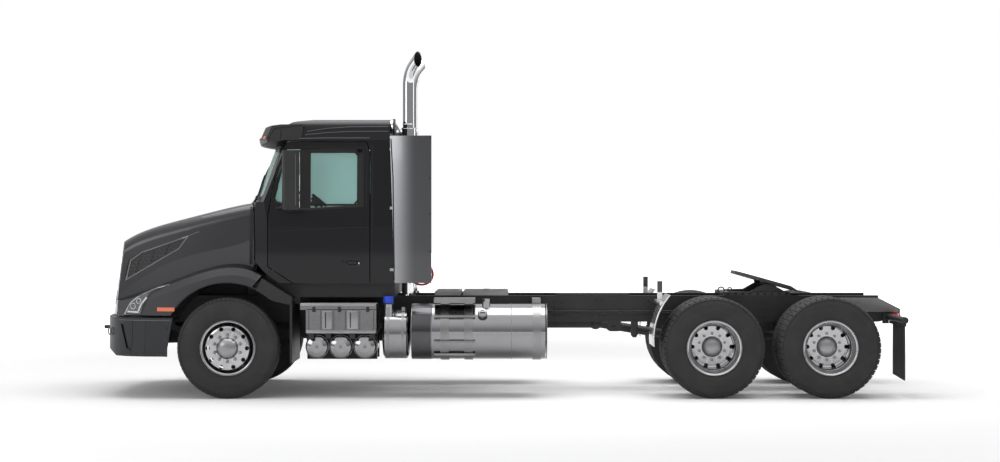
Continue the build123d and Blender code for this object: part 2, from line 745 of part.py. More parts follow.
def door_prism(shares, grow):
    """The door's outline drawn through the left wall of the cab."""
    plane = Plane(origin=(0, -cab_header_half_width + 3 * door_wall, 0), x_dir=(1, 0, 0), z_dir=(0, -1, 0))
    return extrude(plane * door_outline(shares, grow), amount=cab_half_width)


windshield_half = 930.0
windshield_head_half = 850.0
rear_window_half = 560.0
rear_window_z0 = 2120.0
rear_window_z1 = 2600.0


def windshield_prism():
    points = [(-windshield_half, windshield_foot_z), (windshield_half, windshield_foot_z),
              (windshield_head_half, windshield_head_z - glass_inset),
              (-windshield_head_half, windshield_head_z - glass_inset)]
    return front_prism(points, cab_cowl_x - 4 * cowl_bow, door_front_x + 4 * overrun)


def rear_window_prism():
    return box(cab_rear_x - 4 * cab_rear_lean, cab_rear_x + overrun, -rear_window_half, rear_window_half,
               rear_window_z0, rear_window_z1)


work_lamp_radius = 86.0
work_lamp_rim = 13.0
work_lamp_depth = 52.0    # from the cab's back to the lamp's face
work_lamp_y = 890.0
work_lamp_z = 2938.0


def work_lamps():
    """Two round lamps that face rearwards from the roof's upper corners."""
    back = cab_rear_x - cab_rear_lean
    face = back + work_lamp_depth
    lamp = long_cylinder(back - cab_wall / 3, face, work_lamp_y, work_lamp_z, work_lamp_radius - work_lamp_rim)
    lamp += long_cylinder(face - work_lamp_rim, face, work_lamp_y, work_lamp_z, work_lamp_radius)
    return both_sides(lamp)


def cab_pieces():
    """Cab body, roof, glass and doors, cut from one outer form."""
    outer = cab_volume(0)
    shell = outer - cab_volume(cab_wall)
    doorway = door_prism(door_shares, door_gap)
    shell = shell - doorway - mirror(doorway, Plane.XZ)
    shell = shell - windshield_prism() - rear_window_prism()
    split = cab_header_z
    roof_zone = box(cab_cowl_x - 4 * cowl_bow, cab_rear_x + overrun, -half_width, half_width, split, 2 * cab_roof_z)
    roof = (shell & roof_zone) + work_lamps()
    body = shell - roof_zone
    sheet = cab_volume(glass_inset) - cab_volume(glass_inset + glass_wall)
    windshield = sheet & windshield_prism()
    rear_glass = sheet & rear_window_prism()
    skin = (outer - cab_volume(door_wall)) & door_prism(door_shares, 0)
    window = door_prism(window_shares, 0)
    door = skin - window
    length = door_rear_x - door_front_x
    height = door_top_z - cab_floor_z
    x1 = door_front_x + handle_shares[0] * length
    z0 = cab_floor_z + handle_z_share * height
    recess = box(x1 - handle_shares[1] * length, x1, -cab_half_width - overrun, -cab_half_width + handle_depth,
                 z0, z0 + handle_height_share * height)
    door -= recess
    door += box(x1 - handle_shares[1] * length, x1, -cab_half_width, -cab_half_width + handle_depth / 2,
                z0 + handle_height_share * height * 0.55, z0 + handle_height_share * height)
    door_glass = (cab_volume(door_wall * 0.4) - cab_volume(door_wall * 0.4 + glass_wall)) & window
    return body, roof, windshield, rear_glass, door, door_glass


visor_radius = 2900.0
visor_tip_x = -2745.0
visor_tip_z = 2805.0
visor_height = 155.0
visor_depth = 375.0
visor_wall = 22.0
visor_half = 1022.0
# visor's section, shares of its depth and height from the tip
visor_shares = [(0.0, 0.0), (0.16, 0.92), (0.42, 1.0), (1.0, 1.02), (1.0, 0.84), (0.43, 0.86), (0.22, 0.74),
                (0.07, -0.22), (0.03, -0.28)]
# outline of the visor's ends, shares of the same
visor_end_shares = [(0.0, 0.0), (0.16, 0.92), (0.42, 1.0), (0.94, 1.0), (1.06, 0.82), (1.05, 0.30), (0.95, -0.08),
                    (0.50, -0.10), (0.30, -0.20), (0.07, -0.22)]


def sun_visor():
    points = spread(visor_shares, (visor_tip_x, visor_tip_z), (visor_depth, visor_height))
    axis_x = visor_tip_x + visor_radius
    arc = 4 * visor_half / visor_radius * 180 / pi
    band = revolve(Plane.XZ * make_face(Polyline(*points, close=True)), Axis((axis_x, 0, 0), (0, 0, 1)), arc)
    band = band.rotate(Axis((axis_x, 0, 0), (0, 0, 1)), -arc / 2)
    band &= box(visor_tip_x - overrun, axis_x, -visor_half, visor_half, 0, 2 * cab_roof_z)
    tip = axis_x - sqrt(visor_radius ** 2 - visor_half ** 2)
    end = spread(visor_end_shares, (tip, visor_tip_z), (visor_depth, visor_height))
    band += both_sides(side_prism(end, visor_half - visor_wall, visor_half))
    return band - cab_volume(-seat_gap)


# Cab interior

seat_front_x = -1960.0
seat_rear_x = -1450.0
seat_half = 270.0
seat_y = 480.0
seat_base_z = 1720.0
seat_thickness = 140.0
seat_back_top_z = 2420.0
dash_rear_x = -2250.0
dash_top_z = 2080.0
dash_bottom_z = 1640.0
wheel_ring_radius = 225.0
wheel_ring_wall = 17.0
wheel_ring_tilt = 28.0
wheel_ring_x = -2130.0
wheel_ring_z = 2060.0


def seats():
    solids = []
    for side in (-1, 1):
        y0, y1 = side * seat_y - seat_half, side * seat_y + seat_half
        floor = cab_floor_z + cab_wall
        seat = box(seat_front_x, seat_rear_x, y0, y1, seat_base_z - seat_thickness, seat_base_z)
        seat += side_prism([(seat_rear_x - seat_thickness, seat_base_z), (seat_rear_x, seat_base_z),
                            (seat_rear_x + seat_thickness, seat_back_top_z), (seat_rear_x, seat_back_top_z)], y0, y1)
        seat += box(seat_front_x + seat_thickness, seat_rear_x - seat_thickness, y0 + seat_thickness,
                    y1 - seat_thickness, floor, seat_base_z - seat_thickness)
        solids.append(seat)
    return Compound(children=solids)


def dashboard():
    inner = cab_volume(cab_wall + seat_gap)
    board = side_prism([(cab_cowl_x - cowl_bow, dash_bottom_z), (dash_rear_x, dash_bottom_z),
                        (dash_rear_x + overrun, dash_top_z - overrun), (dash_rear_x, dash_top_z),
                        (cab_cowl_x - cowl_bow, dash_top_z)], -cab_header_half_width + 2 * door_wall,
                       cab_header_half_width - 2 * door_wall)
    board &= inner
    place = Pos(wheel_ring_x, -seat_y, wheel_ring_z) * Rot(0, wheel_ring_tilt, 0)
    ring = Torus(wheel_ring_radius, wheel_ring_wall)
    spokes = Box(2 * wheel_ring_radius, 2 * wheel_ring_wall, wheel_ring_wall) + Box(
        2 * wheel_ring_wall, 2 * wheel_ring_radius, wheel_ring_wall)
    column = Pos(0, 0, -wheel_ring_radius) * Cylinder(2 * wheel_ring_wall, 2 * wheel_ring_radius)
    return board + place * (ring + spokes + column)


# Mirror on the door

mirror_y0 = 1235.0
mirror_y1 = 1345.0
mirror_front_x = -2368.0
mirror_rear_x = -2162.0
mirror_z0 = 2030.0
mirror_z1 = 2665.0
mirror_arm_radius = 16.0
mirror_round = 24.0
mirror_arm_x = -2475.0


def door_mirror():
    """The left mirror: a tall head on two arms from the door's front edge."""
    inset = (mirror_rear_x - mirror_front_x) / 6
    plan = [(mirror_front_x, -mirror_y0 - inset), (mirror_front_x + inset, -mirror_y1),
            (mirror_rear_x, -mirror_y1), (mirror_rear_x, -mirror_y0)]
    head = plan_prism(plan, mirror_z0, mirror_z1)
    head = fillet(head.edges().filter_by(Axis.Z), mirror_round)
    foot_y = -cab_header_half_width
    for share, low in ((0.06, 0.02), (0.94, 0.55)):
        z = mirror_z0 + share * (mirror_z1 - mirror_z0)
        foot_z = mirror_z0 + low * (mirror_z1 - mirror_z0)
        line = Edge.make_line((mirror_arm_x + low * 2 * inset, foot_y, foot_z),
                              (mirror_front_x + 2 * inset, -mirror_y0 - inset, z))
        head += sweep(Plane(origin=line @ 0, z_dir=line % 0) * Circle(mirror_arm_radius), path=line)
    return head - cab_volume(0)


# Behind the cab

fairing_front_x = -1160.0
fairing_rear_x = -762.0
fairing_bottom_z = 1243.0
fairing_top_z = 2831.0
fairing_front_y = 1085.0
fairing_rear_y = 1185.0
fairing_wall = 22.0
fairing_bracket_depth = 30.0
fairing_bracket_shares = (0.08, 0.5, 0.9)
fairing_right_trim = 120.0    # how much shorter the right fairing is


def side_fairings():
    middle_x = (fairing_front_x + fairing_rear_x) / 2
    bulge = fairing_rear_y - (fairing_rear_y - fairing_front_y) * 0.2
    outer = ThreePointArc((fairing_front_x - cab_rear_lean, fairing_front_y), (middle_x, bulge),
                          (fairing_rear_x, fairing_rear_y))
    inner = ThreePointArc((fairing_rear_x, fairing_rear_y - fairing_wall), (middle_x, bulge - fairing_wall),
                          (fairing_front_x - cab_rear_lean, fairing_front_y - fairing_wall))
    face = make_face([outer, Line(outer @ 1, inner @ 0), inner, Line(inner @ 1, outer @ 0)])
    panel = extrude(Pos(0, 0, fairing_bottom_z) * face, amount=fairing_top_z - fairing_bottom_z)
    trim = [(fairing_front_x, fairing_bottom_z - overrun), (fairing_rear_x + overrun, fairing_bottom_z - overrun),
            (fairing_rear_x + overrun, fairing_top_z + overrun), (fairing_front_x - cab_rear_lean, fairing_top_z)]
    panel &= side_prism(trim, 0, half_width)
    height = fairing_top_z - fairing_bottom_z
    front = outer @ 0
    behind = make_face([outer, Line(outer @ 1, (fairing_rear_x, 0)), Line((fairing_rear_x, 0), (front.X, 0)),
                        Line((front.X, 0), front)])
    behind = extrude(Pos(0, 0, fairing_bottom_z) * behind, amount=height)
    for share in fairing_bracket_shares:
        z = fairing_bottom_z + share * height
        bracket = box(cab_rear_x - 2 * cab_rear_lean, middle_x, fairing_front_y - 4 * fairing_wall,
                      fairing_rear_y, z, z + fairing_bracket_depth)
        panel += bracket & behind
    panel -= cab_volume(-seat_gap)
    cut_off = box(fairing_rear_x - fairing_right_trim, fairing_rear_x + overrun, 0, half_width, 0, 2 * cab_roof_z)
    return Compound(children=[mirror(panel, Plane.XZ), panel - cut_off])


stack_x = -1051.0
stack_y = 380.0
stack_radius = 62.5
stack_sleeve_radius = 76.0
stack_sleeve_top_z = 2960.0
stack_bend_z = 3450.0
stack_bend_radius = 300.0
stack_bend_angle = 45.0
stack_mouth_length = 167.0
stack_outward = 42.0
stack_wall = 5.0
stack_bracket = 24.0


def stack_path():
    turn = radians(stack_bend_angle)
    start = Line((0, 0, rail_top), (0, 0, stack_bend_z))
    x1 = stack_bend_radius * (1 - cos(turn))
    z1 = stack_bend_z + stack_bend_radius * sin(turn)
    middle = (stack_bend_radius * (1 - cos(turn / 2)), 0, stack_bend_z + stack_bend_radius * sin(turn / 2))
    bend = ThreePointArc((0, 0, stack_bend_z), middle, (x1, 0, z1))
    end = Line((x1, 0, z1), (x1 + stack_mouth_length * sin(turn) * 2, 0, z1 + stack_mouth_length * cos(turn) * 2))
    return Wire([start.edge(), bend.edge(), end.edge()]), x1 + stack_mouth_length * sin(turn) / 2


def exhaust_stacks():
    path, mouth_x = stack_path()
    plane = Plane(origin=(0, 0, rail_top), z_dir=(0, 0, 1))
    pipe = sweep(plane * Circle(stack_radius), path=path)
    pipe += post(0, 0, rail_top + stack_bracket, stack_sleeve_top_z, stack_sleeve_radius)
    pipe += box(-stack_sleeve_radius, stack_sleeve_radius, -rail_flange / 2, rail_flange / 2,
                rail_top, rail_top + stack_bracket)
    pipe -= sweep(Pos(0, 0, stack_sleeve_top_z) * Circle(stack_radius - stack_wall),
                  path=Wire([Edge.make_line((0, 0, stack_sleeve_top_z), (0, 0, stack_bend_z)),
                             path.edges()[1], path.edges()[2]]))
    reach = 4 * stack_mouth_length
    pipe -= box(mouth_x, mouth_x + reach, -reach, reach, stack_bend_z, stack_bend_z + 2 * reach)
    pipe = Rot(0, 0, stack_outward) * pipe
    pipe = Pos(stack_x, stack_y, 0) * pipe
    for share in (0.35, 0.85):
        z = rail_top + share * (stack_sleeve_top_z - rail_top)
        arm = box(cab_rear_x - 2 * cab_rear_lean, stack_x, stack_y - stack_bracket, stack_y + stack_bracket,
                  z, z + stack_bracket)
        pipe += arm - cab_volume(-seat_gap)
    return pair(pipe)


# Left side boxes and tanks

battery_front_x = -2118.0
battery_rear_x = -1358.0
battery_z0 = 704.0
battery_z1 = 953.0
step_thickness = 65.0
step_overhang = 60.0
box_inner_y = 520.0
strap_width = 92.0
strap_wall = 10.0


def battery_box():
    solid = box(battery_front_x, battery_rear_x, -side_y + strap_wall, -box_inner_y, battery_z0, battery_z1)
    solid += box(battery_front_x - step_overhang, battery_rear_x, -side_y, -box_inner_y, battery_z1,
                 battery_z1 + step_thickness)
    length = battery_rear_x - battery_front_x
    for share in (0.22, 0.55):
        x = battery_front_x + share * length
        solid += box(x, x + strap_width, -side_y, -side_y + strap_wall, battery_z0, battery_z1)
    solid += box(battery_front_x, battery_rear_x, -box_inner_y, -rail_half - seat_gap,
                 battery_z1 - step_thickness, battery_z1)
    return solid


def aftertreatment():
    """The exhaust cleaning box and its steps on the right side."""
    solid = box(battery_front_x, tank_front_x - step_overhang, box_inner_y, side_y - strap_wall,
                battery_z0 - step_thickness * 3, battery_z1)
    solid = fillet(solid.edges().filter_by(Axis.X), step_thickness)
    solid += box(battery_front_x - step_overhang, battery_rear_x, box_inner_y + step_thickness, side_y,
                 battery_z1 - strap_wall, battery_z1 + step_thickness)
    solid += box(battery_front_x, battery_rear_x, rail_half + seat_gap, box_inner_y + strap_wall,
                 battery_z1 - step_thickness * 2, battery_z1 - step_thickness)
    return solid


air_tank_radius = 125.0
air_tank_z = 552.0
air_tank_y0 = 530.0
air_tank_y1 = 1118.0
air_tank_dome = 60.0
air_tank_xs = [-2003.0, -1746.0, -1484.0]
air_carrier_wall = 14.0
air_carrier_width = 50.0


def air_tanks():
    tank = domed_tank(air_tank_y1 - air_tank_y0, air_tank_radius, air_tank_dome)
    return Compound(children=[Pos(x, -air_tank_y0, air_tank_z) * Rot(0, 0, -90) * tank for x in air_tank_xs])


def air_tank_carrier():
    """Two hangers under the battery box that hold the air tanks."""
    length = (battery_rear_x - battery_front_x)
    low = air_tank_z - air_tank_radius - air_carrier_wall
    solids = []
    for share in (0.2, 0.75):
        y = -(air_tank_y0 + share * (air_tank_y1 - air_tank_y0))
        bar = box(battery_front_x, battery_front_x + length, y - air_carrier_width / 2, y + air_carrier_width / 2,
                  low, battery_z0)
        for x in air_tank_xs:
            bar -= cross_cylinder(x, air_tank_z, y - air_carrier_width, y + air_carrier_width,
                                  air_tank_radius + seat_gap)
        solids.append(bar)
    return solids[0] + solids[1]


urea_front_x = -1304.0
urea_rear_x = -1005.0
urea_radius = 266.0
urea_z = 679.0
urea_neck_radius = 55.0
urea_neck_x = -1236.0
urea_neck_share = 0.5    # how far outboard of the tank's middle, of its radius
urea_neck_top_z = 1018.0
urea_cap_height = 78.0


def urea_tank():
    tank = domed_tank(urea_rear_x - urea_front_x, urea_radius, urea_radius / 8)
    y = -side_y + urea_radius
    solid = Pos(urea_front_x, y, urea_z) * tank
    solid += post(urea_neck_x, y - urea_radius * urea_neck_share, urea_z, urea_neck_top_z, urea_neck_radius)
    solid += box((urea_front_x + urea_rear_x) / 2 - urea_neck_radius, (urea_front_x + urea_rear_x) / 2
                 + urea_neck_radius, y, -rail_half - seat_gap, rail_bottom, rail_bottom + urea_neck_radius)
    return solid


def urea_cap():
    y = -side_y + urea_radius - urea_radius * urea_neck_share
    return post(urea_neck_x, y, urea_neck_top_z, urea_neck_top_z + urea_cap_height, urea_neck_radius * 0.98)


tank_dome = 26.0
filler_share = 0.55
filler_radius = 45.0
filler_height = 60.0
# straps round the fuel tank, as shares of its length
tank_strap_shares = [0.215, 0.39, 0.89]
tank_step_shares = (0.17, 0.47)
tank_step_z = 1027.0
tank_step_wall = 50.0
tank_step_depth = 300.0
tank_rung_zs = (882.0, 607.0, 467.0)
tank_rung_depth = 26.0
tank_rung_height = 22.0


def tank_centre_y():
    return side_y - tank_radius


def fuel_tanks():
    tank = Pos(tank_front_x, tank_centre_y(), tank_z) * domed_tank(tank_rear_x - tank_front_x, tank_radius, tank_dome)
    x = tank_front_x + filler_share * (tank_rear_x - tank_front_x)
    y = tank_centre_y() + tank_radius * 0.35
    tank += post(x, y, tank_z + tank_radius * 0.8, tank_z + tank_radius + filler_height, filler_radius)
    return pair(tank)


def tank_straps():
    """Straps, hanger brackets and top steps of the fuel tanks."""
    length = tank_rear_x - tank_front_x
    y = tank_centre_y()
    group = None
    inner = tank_radius + seat_gap
    for share in tank_strap_shares:
        x = tank_front_x + share * length
        ring = long_cylinder(x, x + strap_width, y, tank_z, inner + strap_wall)
        bracket = box(x, x + strap_width, rail_half + seat_gap, y, tank_z - tank_radius * 0.85,
                      rail_top - 2 * strap_wall)
        part = ring + bracket - long_cylinder(x - overrun, x + strap_width + overrun, y, tank_z, inner)
        group = part if group is None else group + part
    x0 = tank_front_x + tank_step_shares[0] * length
    x1 = tank_front_x + tank_step_shares[1] * length
    step = box(x0, x1, y, y + tank_step_depth, tank_step_z, tank_step_z + tank_step_wall)
    for share in tank_strap_shares[:2]:
        x = tank_front_x + share * length
        step += box(x, x + strap_width, y, y + strap_width, tank_z + tank_radius, tank_step_z)
    for z in tank_rung_zs:
        reach = y + sqrt((inner + strap_wall) ** 2 - (z - tank_z) ** 2)
        step += box(x0, x1, reach - strap_wall * 2, reach + tank_rung_depth,
                    z - tank_rung_height / 2, z + tank_rung_height / 2)
    group += step - long_cylinder(tank_front_x, tank_rear_x, y, tank_z, inner)
    return pair(group)


# Cab carriers, deck, fender extensions

mount_height = cab_floor_z - rail_top
sill_inner = 870.0
sill_outer = 940.0
sill_front_x = -2200.0


def cab_mounts():
    """Two sills under the cab's floor and the cross beams that sit on the frame."""
    gap = seat_gap
    solid = None
    beam = rail_flange
    for share in (0.06, 0.5, 0.9):
        x = sill_front_x + share * (cab_rear_x - sill_front_x)
        bar = box(x, x + beam, -sill_outer, sill_outer, rail_top + gap, cab_floor_z - gap)
        solid = bar if solid is None else solid + bar
    for side in (-1, 1):
        y0, y1 = sorted((side * sill_inner, side * sill_outer))
        solid += box(sill_front_x, cab_rear_x, y0, y1, rail_top + gap, cab_floor_z - gap)
    return solid


deck_front_x = -754.0
deck_rear_x = 69.0
deck_joint_x = -466.0
deck_joint = 28.0
deck_height = 44.0
deck_bar = 26.0
deck_bar_count = 12


def deck_plate():
    solids = []
    for x0, x1 in ((deck_front_x, deck_joint_x), (deck_joint_x + deck_joint, deck_rear_x)):
        plate = box(x0, x1, -rail_half, rail_half, rail_top + seat_gap, rail_top + deck_height)
        inner = rail_half - rail_flange
        pitch = 2 * inner / (deck_bar_count / 2)
        for row in range(deck_bar_count // 2):
            y = -inner + row * pitch
            plate -= box(x0 + deck_bar, x1 - deck_bar, y + deck_bar / 2, y + pitch - deck_bar / 2,
                         rail_top, rail_top + deck_height + overrun)
        solids.append(plate)
    return Compound(children=solids)


extension_inner = 900.0
extension_outer = 1200.0
extension_wall = 24.0
splash_x = -2286.0
splash_bottom_z = 380.0
# outer outline of the extension from the fender's seam to the splash panel, shares of its span
extension_front_x = -2660.0
extension_top_z = 1292.0
extension_shares = [(0.0, 0.50), (0.19, 1.0), (1.0, 0.29), (1.0, 0.05), (0.93, 0.0), (0.5, 0.14)]
extension_low_z = 1010.0
closing_front_x = -2574.0
closing_top_z = 1345.0
# outline of the sheet that closes the corner under the cowl, shares of its length and height
closing_shares = [(0.0, 0.57), (0.0, 1.0), (0.43, 0.66), (1.0, 0.66), (1.0, 0.0), (0.46, 0.0)]


def fender_extensions():
    span = (splash_x + extension_wall - extension_front_x, extension_top_z - extension_low_z)
    outline = spread(extension_shares, (extension_front_x, extension_low_z), span)
    shell = side_prism(outline, extension_inner, extension_outer)
    shell -= Pos(0, 0, -extension_wall) * side_prism(outline, extension_inner - overrun,
                                                     extension_outer - extension_wall)
    closing = spread(closing_shares, (closing_front_x, extension_low_z),
                     (sill_front_x - closing_front_x, closing_top_z - extension_low_z))
    shell += side_prism(closing, extension_inner, extension_inner + extension_wall)
    shell -= cross_cylinder(arch_x, axle_z, 0, half_width + overrun, arch_radius - body_gap)
    shell += box(splash_x, splash_x + extension_wall, rail_half + body_gap, extension_outer - extension_wall,
                 splash_bottom_z, extension_low_z + extension_wall)
    shell += box(splash_x - extension_wall, sill_front_x, sill_inner, sill_outer,
                 extension_low_z, rail_top + extension_wall * 2)
    return pair(shell - cab_volume(-body_gap))


# Rear end

quarter_width0 = 640.0
quarter_width1 = 1200.0
quarter_radius = 727.0
quarter_set_back = 80.0      # of the sheet's centre, from the axle
quarter_set_up = 90.0
quarter_wall = 8.0
quarter_low_z = 557.0
quarter_top_z = 1112.0
quarter_arm_z = 1020.0
quarter_arm_radius = 24.0
quarter_post_width = 56.0
quarter_post_top_z = 1257.0
quarter_post_y = 920.0


def quarter_fenders():
    """Curved sheets ahead of the first drive axle, on arms from the rails with upright plates."""
    x = rear_axle_xs[0] + quarter_set_back
    middle = axle_z + quarter_set_up
    outer = quarter_radius + quarter_wall
    ring = cross_cylinder(x, middle, quarter_width0, quarter_width1, outer)
    ring -= cross_cylinder(x, middle, quarter_width0 - overrun, quarter_width1 + overrun, quarter_radius)
    zone = box(x - 2 * quarter_radius, x, 0, half_width + overrun, quarter_low_z, quarter_top_z)
    sheet = ring & zone
    arm_x = x - sqrt(outer ** 2 - (quarter_arm_z - middle) ** 2) - quarter_arm_radius + quarter_wall
    arm = cross_cylinder(arm_x, quarter_arm_z, rail_half + seat_gap, quarter_width1 - overrun, quarter_arm_radius)
    upright = box(arm_x - quarter_post_width / 2, arm_x + quarter_post_width / 2, quarter_post_y,
                  quarter_post_y + quarter_wall, quarter_arm_z, quarter_post_top_z)
    return pair(sheet + arm + upright)


flap_x = 4326.0
flap_wall = 10.0
flap_y0 = 650.0
flap_y1 = 1200.0
flap_top_z = 812.0
flap_bottom_z = 194.0
hanger_radius = 36.0
hanger_z = 842.0


def mud_flap_hangers():
    arm = cross_cylinder(flap_x, hanger_z, rail_half + seat_gap, flap_y1 + overrun / 2, hanger_radius)
    arm += box(flap_x - hanger_radius * 2, flap_x + hanger_radius, rail_half + seat_gap, rail_half + hanger_radius,
               hanger_z - hanger_radius * 2, hanger_z + hanger_radius)
    arm += box(flap_x - hanger_radius / 2, flap_x + hanger_radius / 2, flap_y0, flap_y1, flap_top_z - hanger_radius,
               hanger_z)
    return pair(arm - box(flap_x - flap_wall / 2 - seat_gap, flap_x + flap_wall / 2 + seat_gap, 0, half_width,
                          0, flap_top_z + seat_gap))


def mud_flaps():
    points = [(flap_y0, flap_bottom_z + flap_wall * 3), (flap_y1, flap_bottom_z), (flap_y1, flap_top_z),
              (flap_y0, flap_top_z)]
    return pair(front_prism(points, flap_x - flap_wall / 2, flap_x + flap_wall / 2))


tail_lamp_radius = 52.0
tail_lamp_depth = 44.0
tail_lamp_y = 520.0


def tail_lamps():
    """Round lamps in pairs under the flap hangers, on a plate."""
    x0 = flap_x + hanger_radius + seat_gap
    plate = box(x0, x0 + strap_wall, rail_half + strap_wall, rail_half + strap_wall + 4.6 * tail_lamp_radius,
                hanger_z - tail_lamp_radius, hanger_z + tail_lamp_radius)
    for index in range(2):
        y = rail_half + strap_wall + tail_lamp_radius * (1.2 + 2.2 * index)
        plate += long_cylinder(x0, x0 + tail_lamp_depth, y, hanger_z, tail_lamp_radius * 0.95)
    return pair(plate)


# Fifth wheel

slide_front_x = 2486.0
slide_rear_x = 3226.0
slide_wall = 38.0
slide_notch = 30.0
slide_notch_count = 9
pedestal_y0 = 300.0
pedestal_y1 = 372.0
pedestal_length = 200.0
pivot_radius = 26.0
plate_half_width = 460.0
plate_front = 372.0
plate_rear = 430.0
plate_wall = 36.0
plate_rise = 74.0
# plate's outline, shares of its front or rear reach and of its half width
plate_front_shares = [(-1.0, 0.40), (-0.80, 0.80), (-0.35, 1.0)]
plate_rear_shares = [(0.45, 1.0), (0.90, 0.84), (1.0, 0.78), (1.0, 0.33)]
throat_share = 0.94      # the throat's half width, of the kingpin bore's radius
ear_foot = 34.0          # from the pivot's axis to the ear's lower edge and sides


def fifth_wheel_base():
    top = rail_top + slide_wall
    base = box(slide_front_x, slide_rear_x, -rail_half, rail_half, rail_top + seat_gap, top)
    inner = rail_half - 2 * rail_flange
    base -= box(slide_front_x + rail_flange, slide_rear_x - rail_flange, -inner, inner, rail_top - overrun,
                top + overrun)
    pitch = (slide_rear_x - slide_front_x) / slide_notch_count
    for index in range(slide_notch_count):
        x0 = slide_front_x + (index + 0.5) * pitch - slide_notch / 2
        notch = box(x0, x0 + slide_notch, rail_half - slide_notch, rail_half + overrun,
                    rail_top + slide_wall / 4, top - slide_wall / 4)
        base -= both_sides(notch)
    for side in (-1, 1):
        y0, y1 = sorted((side * pedestal_y0, side * pedestal_y1))
        foot = [(fifth_wheel_x - pedestal_length, top), (fifth_wheel_x + pedestal_length, top),
                (fifth_wheel_x + pivot_radius * 1.8, fifth_wheel_pivot_z + pivot_radius),
                (fifth_wheel_x - pivot_radius * 1.8, fifth_wheel_pivot_z + pivot_radius)]
        base += side_prism(foot, y0, y1)
        base -= cross_cylinder(fifth_wheel_x, fifth_wheel_pivot_z, y0 - overrun, y1 + overrun,
                               pivot_radius + seat_gap)
    return base


def fifth_wheel_plate():
    """The tilting top plate with its throat, skirt and two pivot ears, level about its pivot."""
    front = [(x * plate_front, y * plate_half_width) for x, y in plate_front_shares]
    rear = [(x * plate_rear, y * plate_half_width) for x, y in plate_rear_shares]
    throat = throat_share * kingpin_bore_radius
    half = front + rear + [(2 * kingpin_bore_radius, throat), (0, throat)]
    outline = half + [(x, -y) for x, y in reversed(half)]
    plate = plan_prism(outline, plate_rise - plate_wall, plate_rise)
    plate -= Cylinder(kingpin_bore_radius, 4 * plate_rise)
    ramp = side_prism([(plate_rear * 0.55, plate_rise), (plate_rear + overrun, plate_rise - plate_wall * 1.9),
                       (plate_rear + overrun, plate_rise + overrun), (plate_rear * 0.55, plate_rise + overrun)],
                      -half_width, half_width)
    plate -= ramp
    for side in (-1, 1):
        y0, y1 = sorted((side * (pedestal_y0 - body_gap), side * (pedestal_y0 - body_gap - pivot_radius)))
        ear = side_prism([(-pivot_radius * 3, plate_rise - plate_wall), (pivot_radius * 3, plate_rise - plate_wall),
                          (ear_foot, -ear_foot), (-ear_foot, -ear_foot)], y0, y1)
        p0, p1 = sorted((side * pedestal_y1, side * (pedestal_y0 - body_gap)))
        plate += ear + cross_cylinder(0, 0, p0, p1, pivot_radius)
    return Pos(fifth_wheel_x, 0, fifth_wheel_pivot_z) * Rot(0, fifth_wheel_tilt, 0) * plate


# Wheels and tyres

def tyre_solid():
    """A tyre of revolution about Y, its middle at the origin."""
    half = tyre_width / 2
    bead = rim_half_width - rim_wall - seat_gap
    points = [(tyre_bead_radius, bead), (rim_radius + seat_gap, bead), (tyre_radius * 0.62, half * 0.92),
              (tyre_radius * 0.76, half), (tyre_radius * 0.93, half * 0.93), (tyre_radius * 0.985, half * 0.84),
              (tyre_radius, half * 0.74)]
    outline = points + [(r, -y) for r, y in reversed(points)]
    face = make_face(Polyline(*outline, close=True))
    return revolve(face, Axis.Y)


def rim_profile():
    """Radii and widths of the rim from its outer flange inwards, as one closed band."""
    flange, well, wall = rim_radius, rim_well_radius, rim_wall
    seat = tyre_bead_radius - seat_gap
    half = rim_half_width
    outer = [(flange, half), (flange, half - wall), (seat, half - wall), (seat - wall, half * 0.45), (well, half * 0.3),
             (well, -half * 0.3), (seat - wall, -half * 0.45), (seat, -half + wall), (flange, -half + wall),
             (flange, -half)]
    inner = [(seat - wall, -half), (seat - 2 * wall, -half * 0.5), (well - wall, -half * 0.3),
             (well - wall, half * 0.3), (seat - 2 * wall, half * 0.5), (seat - wall, half)]
    return outer + inner


def wheel_solid(convex):
    """A disc wheel about Y, its middle at the origin, its disc set out by +Y or in by -Y."""
    wheel = revolve(make_face(Polyline(*rim_profile(), close=True)), Axis.Y)
    face_y = disc_outset if convex else -disc_outset
    sign = 1 if convex else -1
    inner_well = rim_well_radius - rim_wall / 2
    start_y = sign * rim_half_width * 0.25
    disc = [(hub_bore_radius, face_y), (stud_circle_radius + stud_radius * 3, face_y),
            (disc_bend_radius, (face_y + start_y) / 2), (inner_well, start_y),
            (inner_well, start_y - sign * disc_wall),
            (disc_bend_radius - disc_wall, (face_y + start_y) / 2 - sign * disc_wall),
            (stud_circle_radius + stud_radius * 2, face_y - sign * disc_wall),
            (hub_bore_radius, face_y - sign * disc_wall)]
    wheel += revolve(make_face(Polyline(*disc, close=True)), Axis.Y)
    middle = (face_y + start_y) / 2
    for index in range(stud_count):
        angle = 2 * pi * index / stud_count
        x, z = hand_hole_circle_radius * cos(angle), hand_hole_circle_radius * sin(angle)
        wheel -= cross_cylinder(x, z, middle - 3 * disc_wall - overrun, middle + 3 * disc_wall + overrun,
                                hand_hole_radius)
    return wheel


def hub_cap(face_y):
    """A domed cap about Y on the disc's face."""
    tip = face_y + hub_cap_length
    rise = hub_cap_length / 2
    edge = hub_cap_radius - hub_cap_flange / 2
    ball = (edge ** 2 + rise ** 2) / (2 * rise)
    dome = ThreePointArc((edge, tip - rise), (edge / 2, tip - ball + sqrt(ball ** 2 - (edge / 2) ** 2)), (0, tip))
    wall = Polyline((0, tip), (0, face_y - disc_wall), (hub_cap_radius, face_y - disc_wall),
                    (hub_cap_radius, face_y + hub_cap_flange), (edge, tip - rise))
    return revolve(make_face([dome] + wall.edges()), Axis.Y)


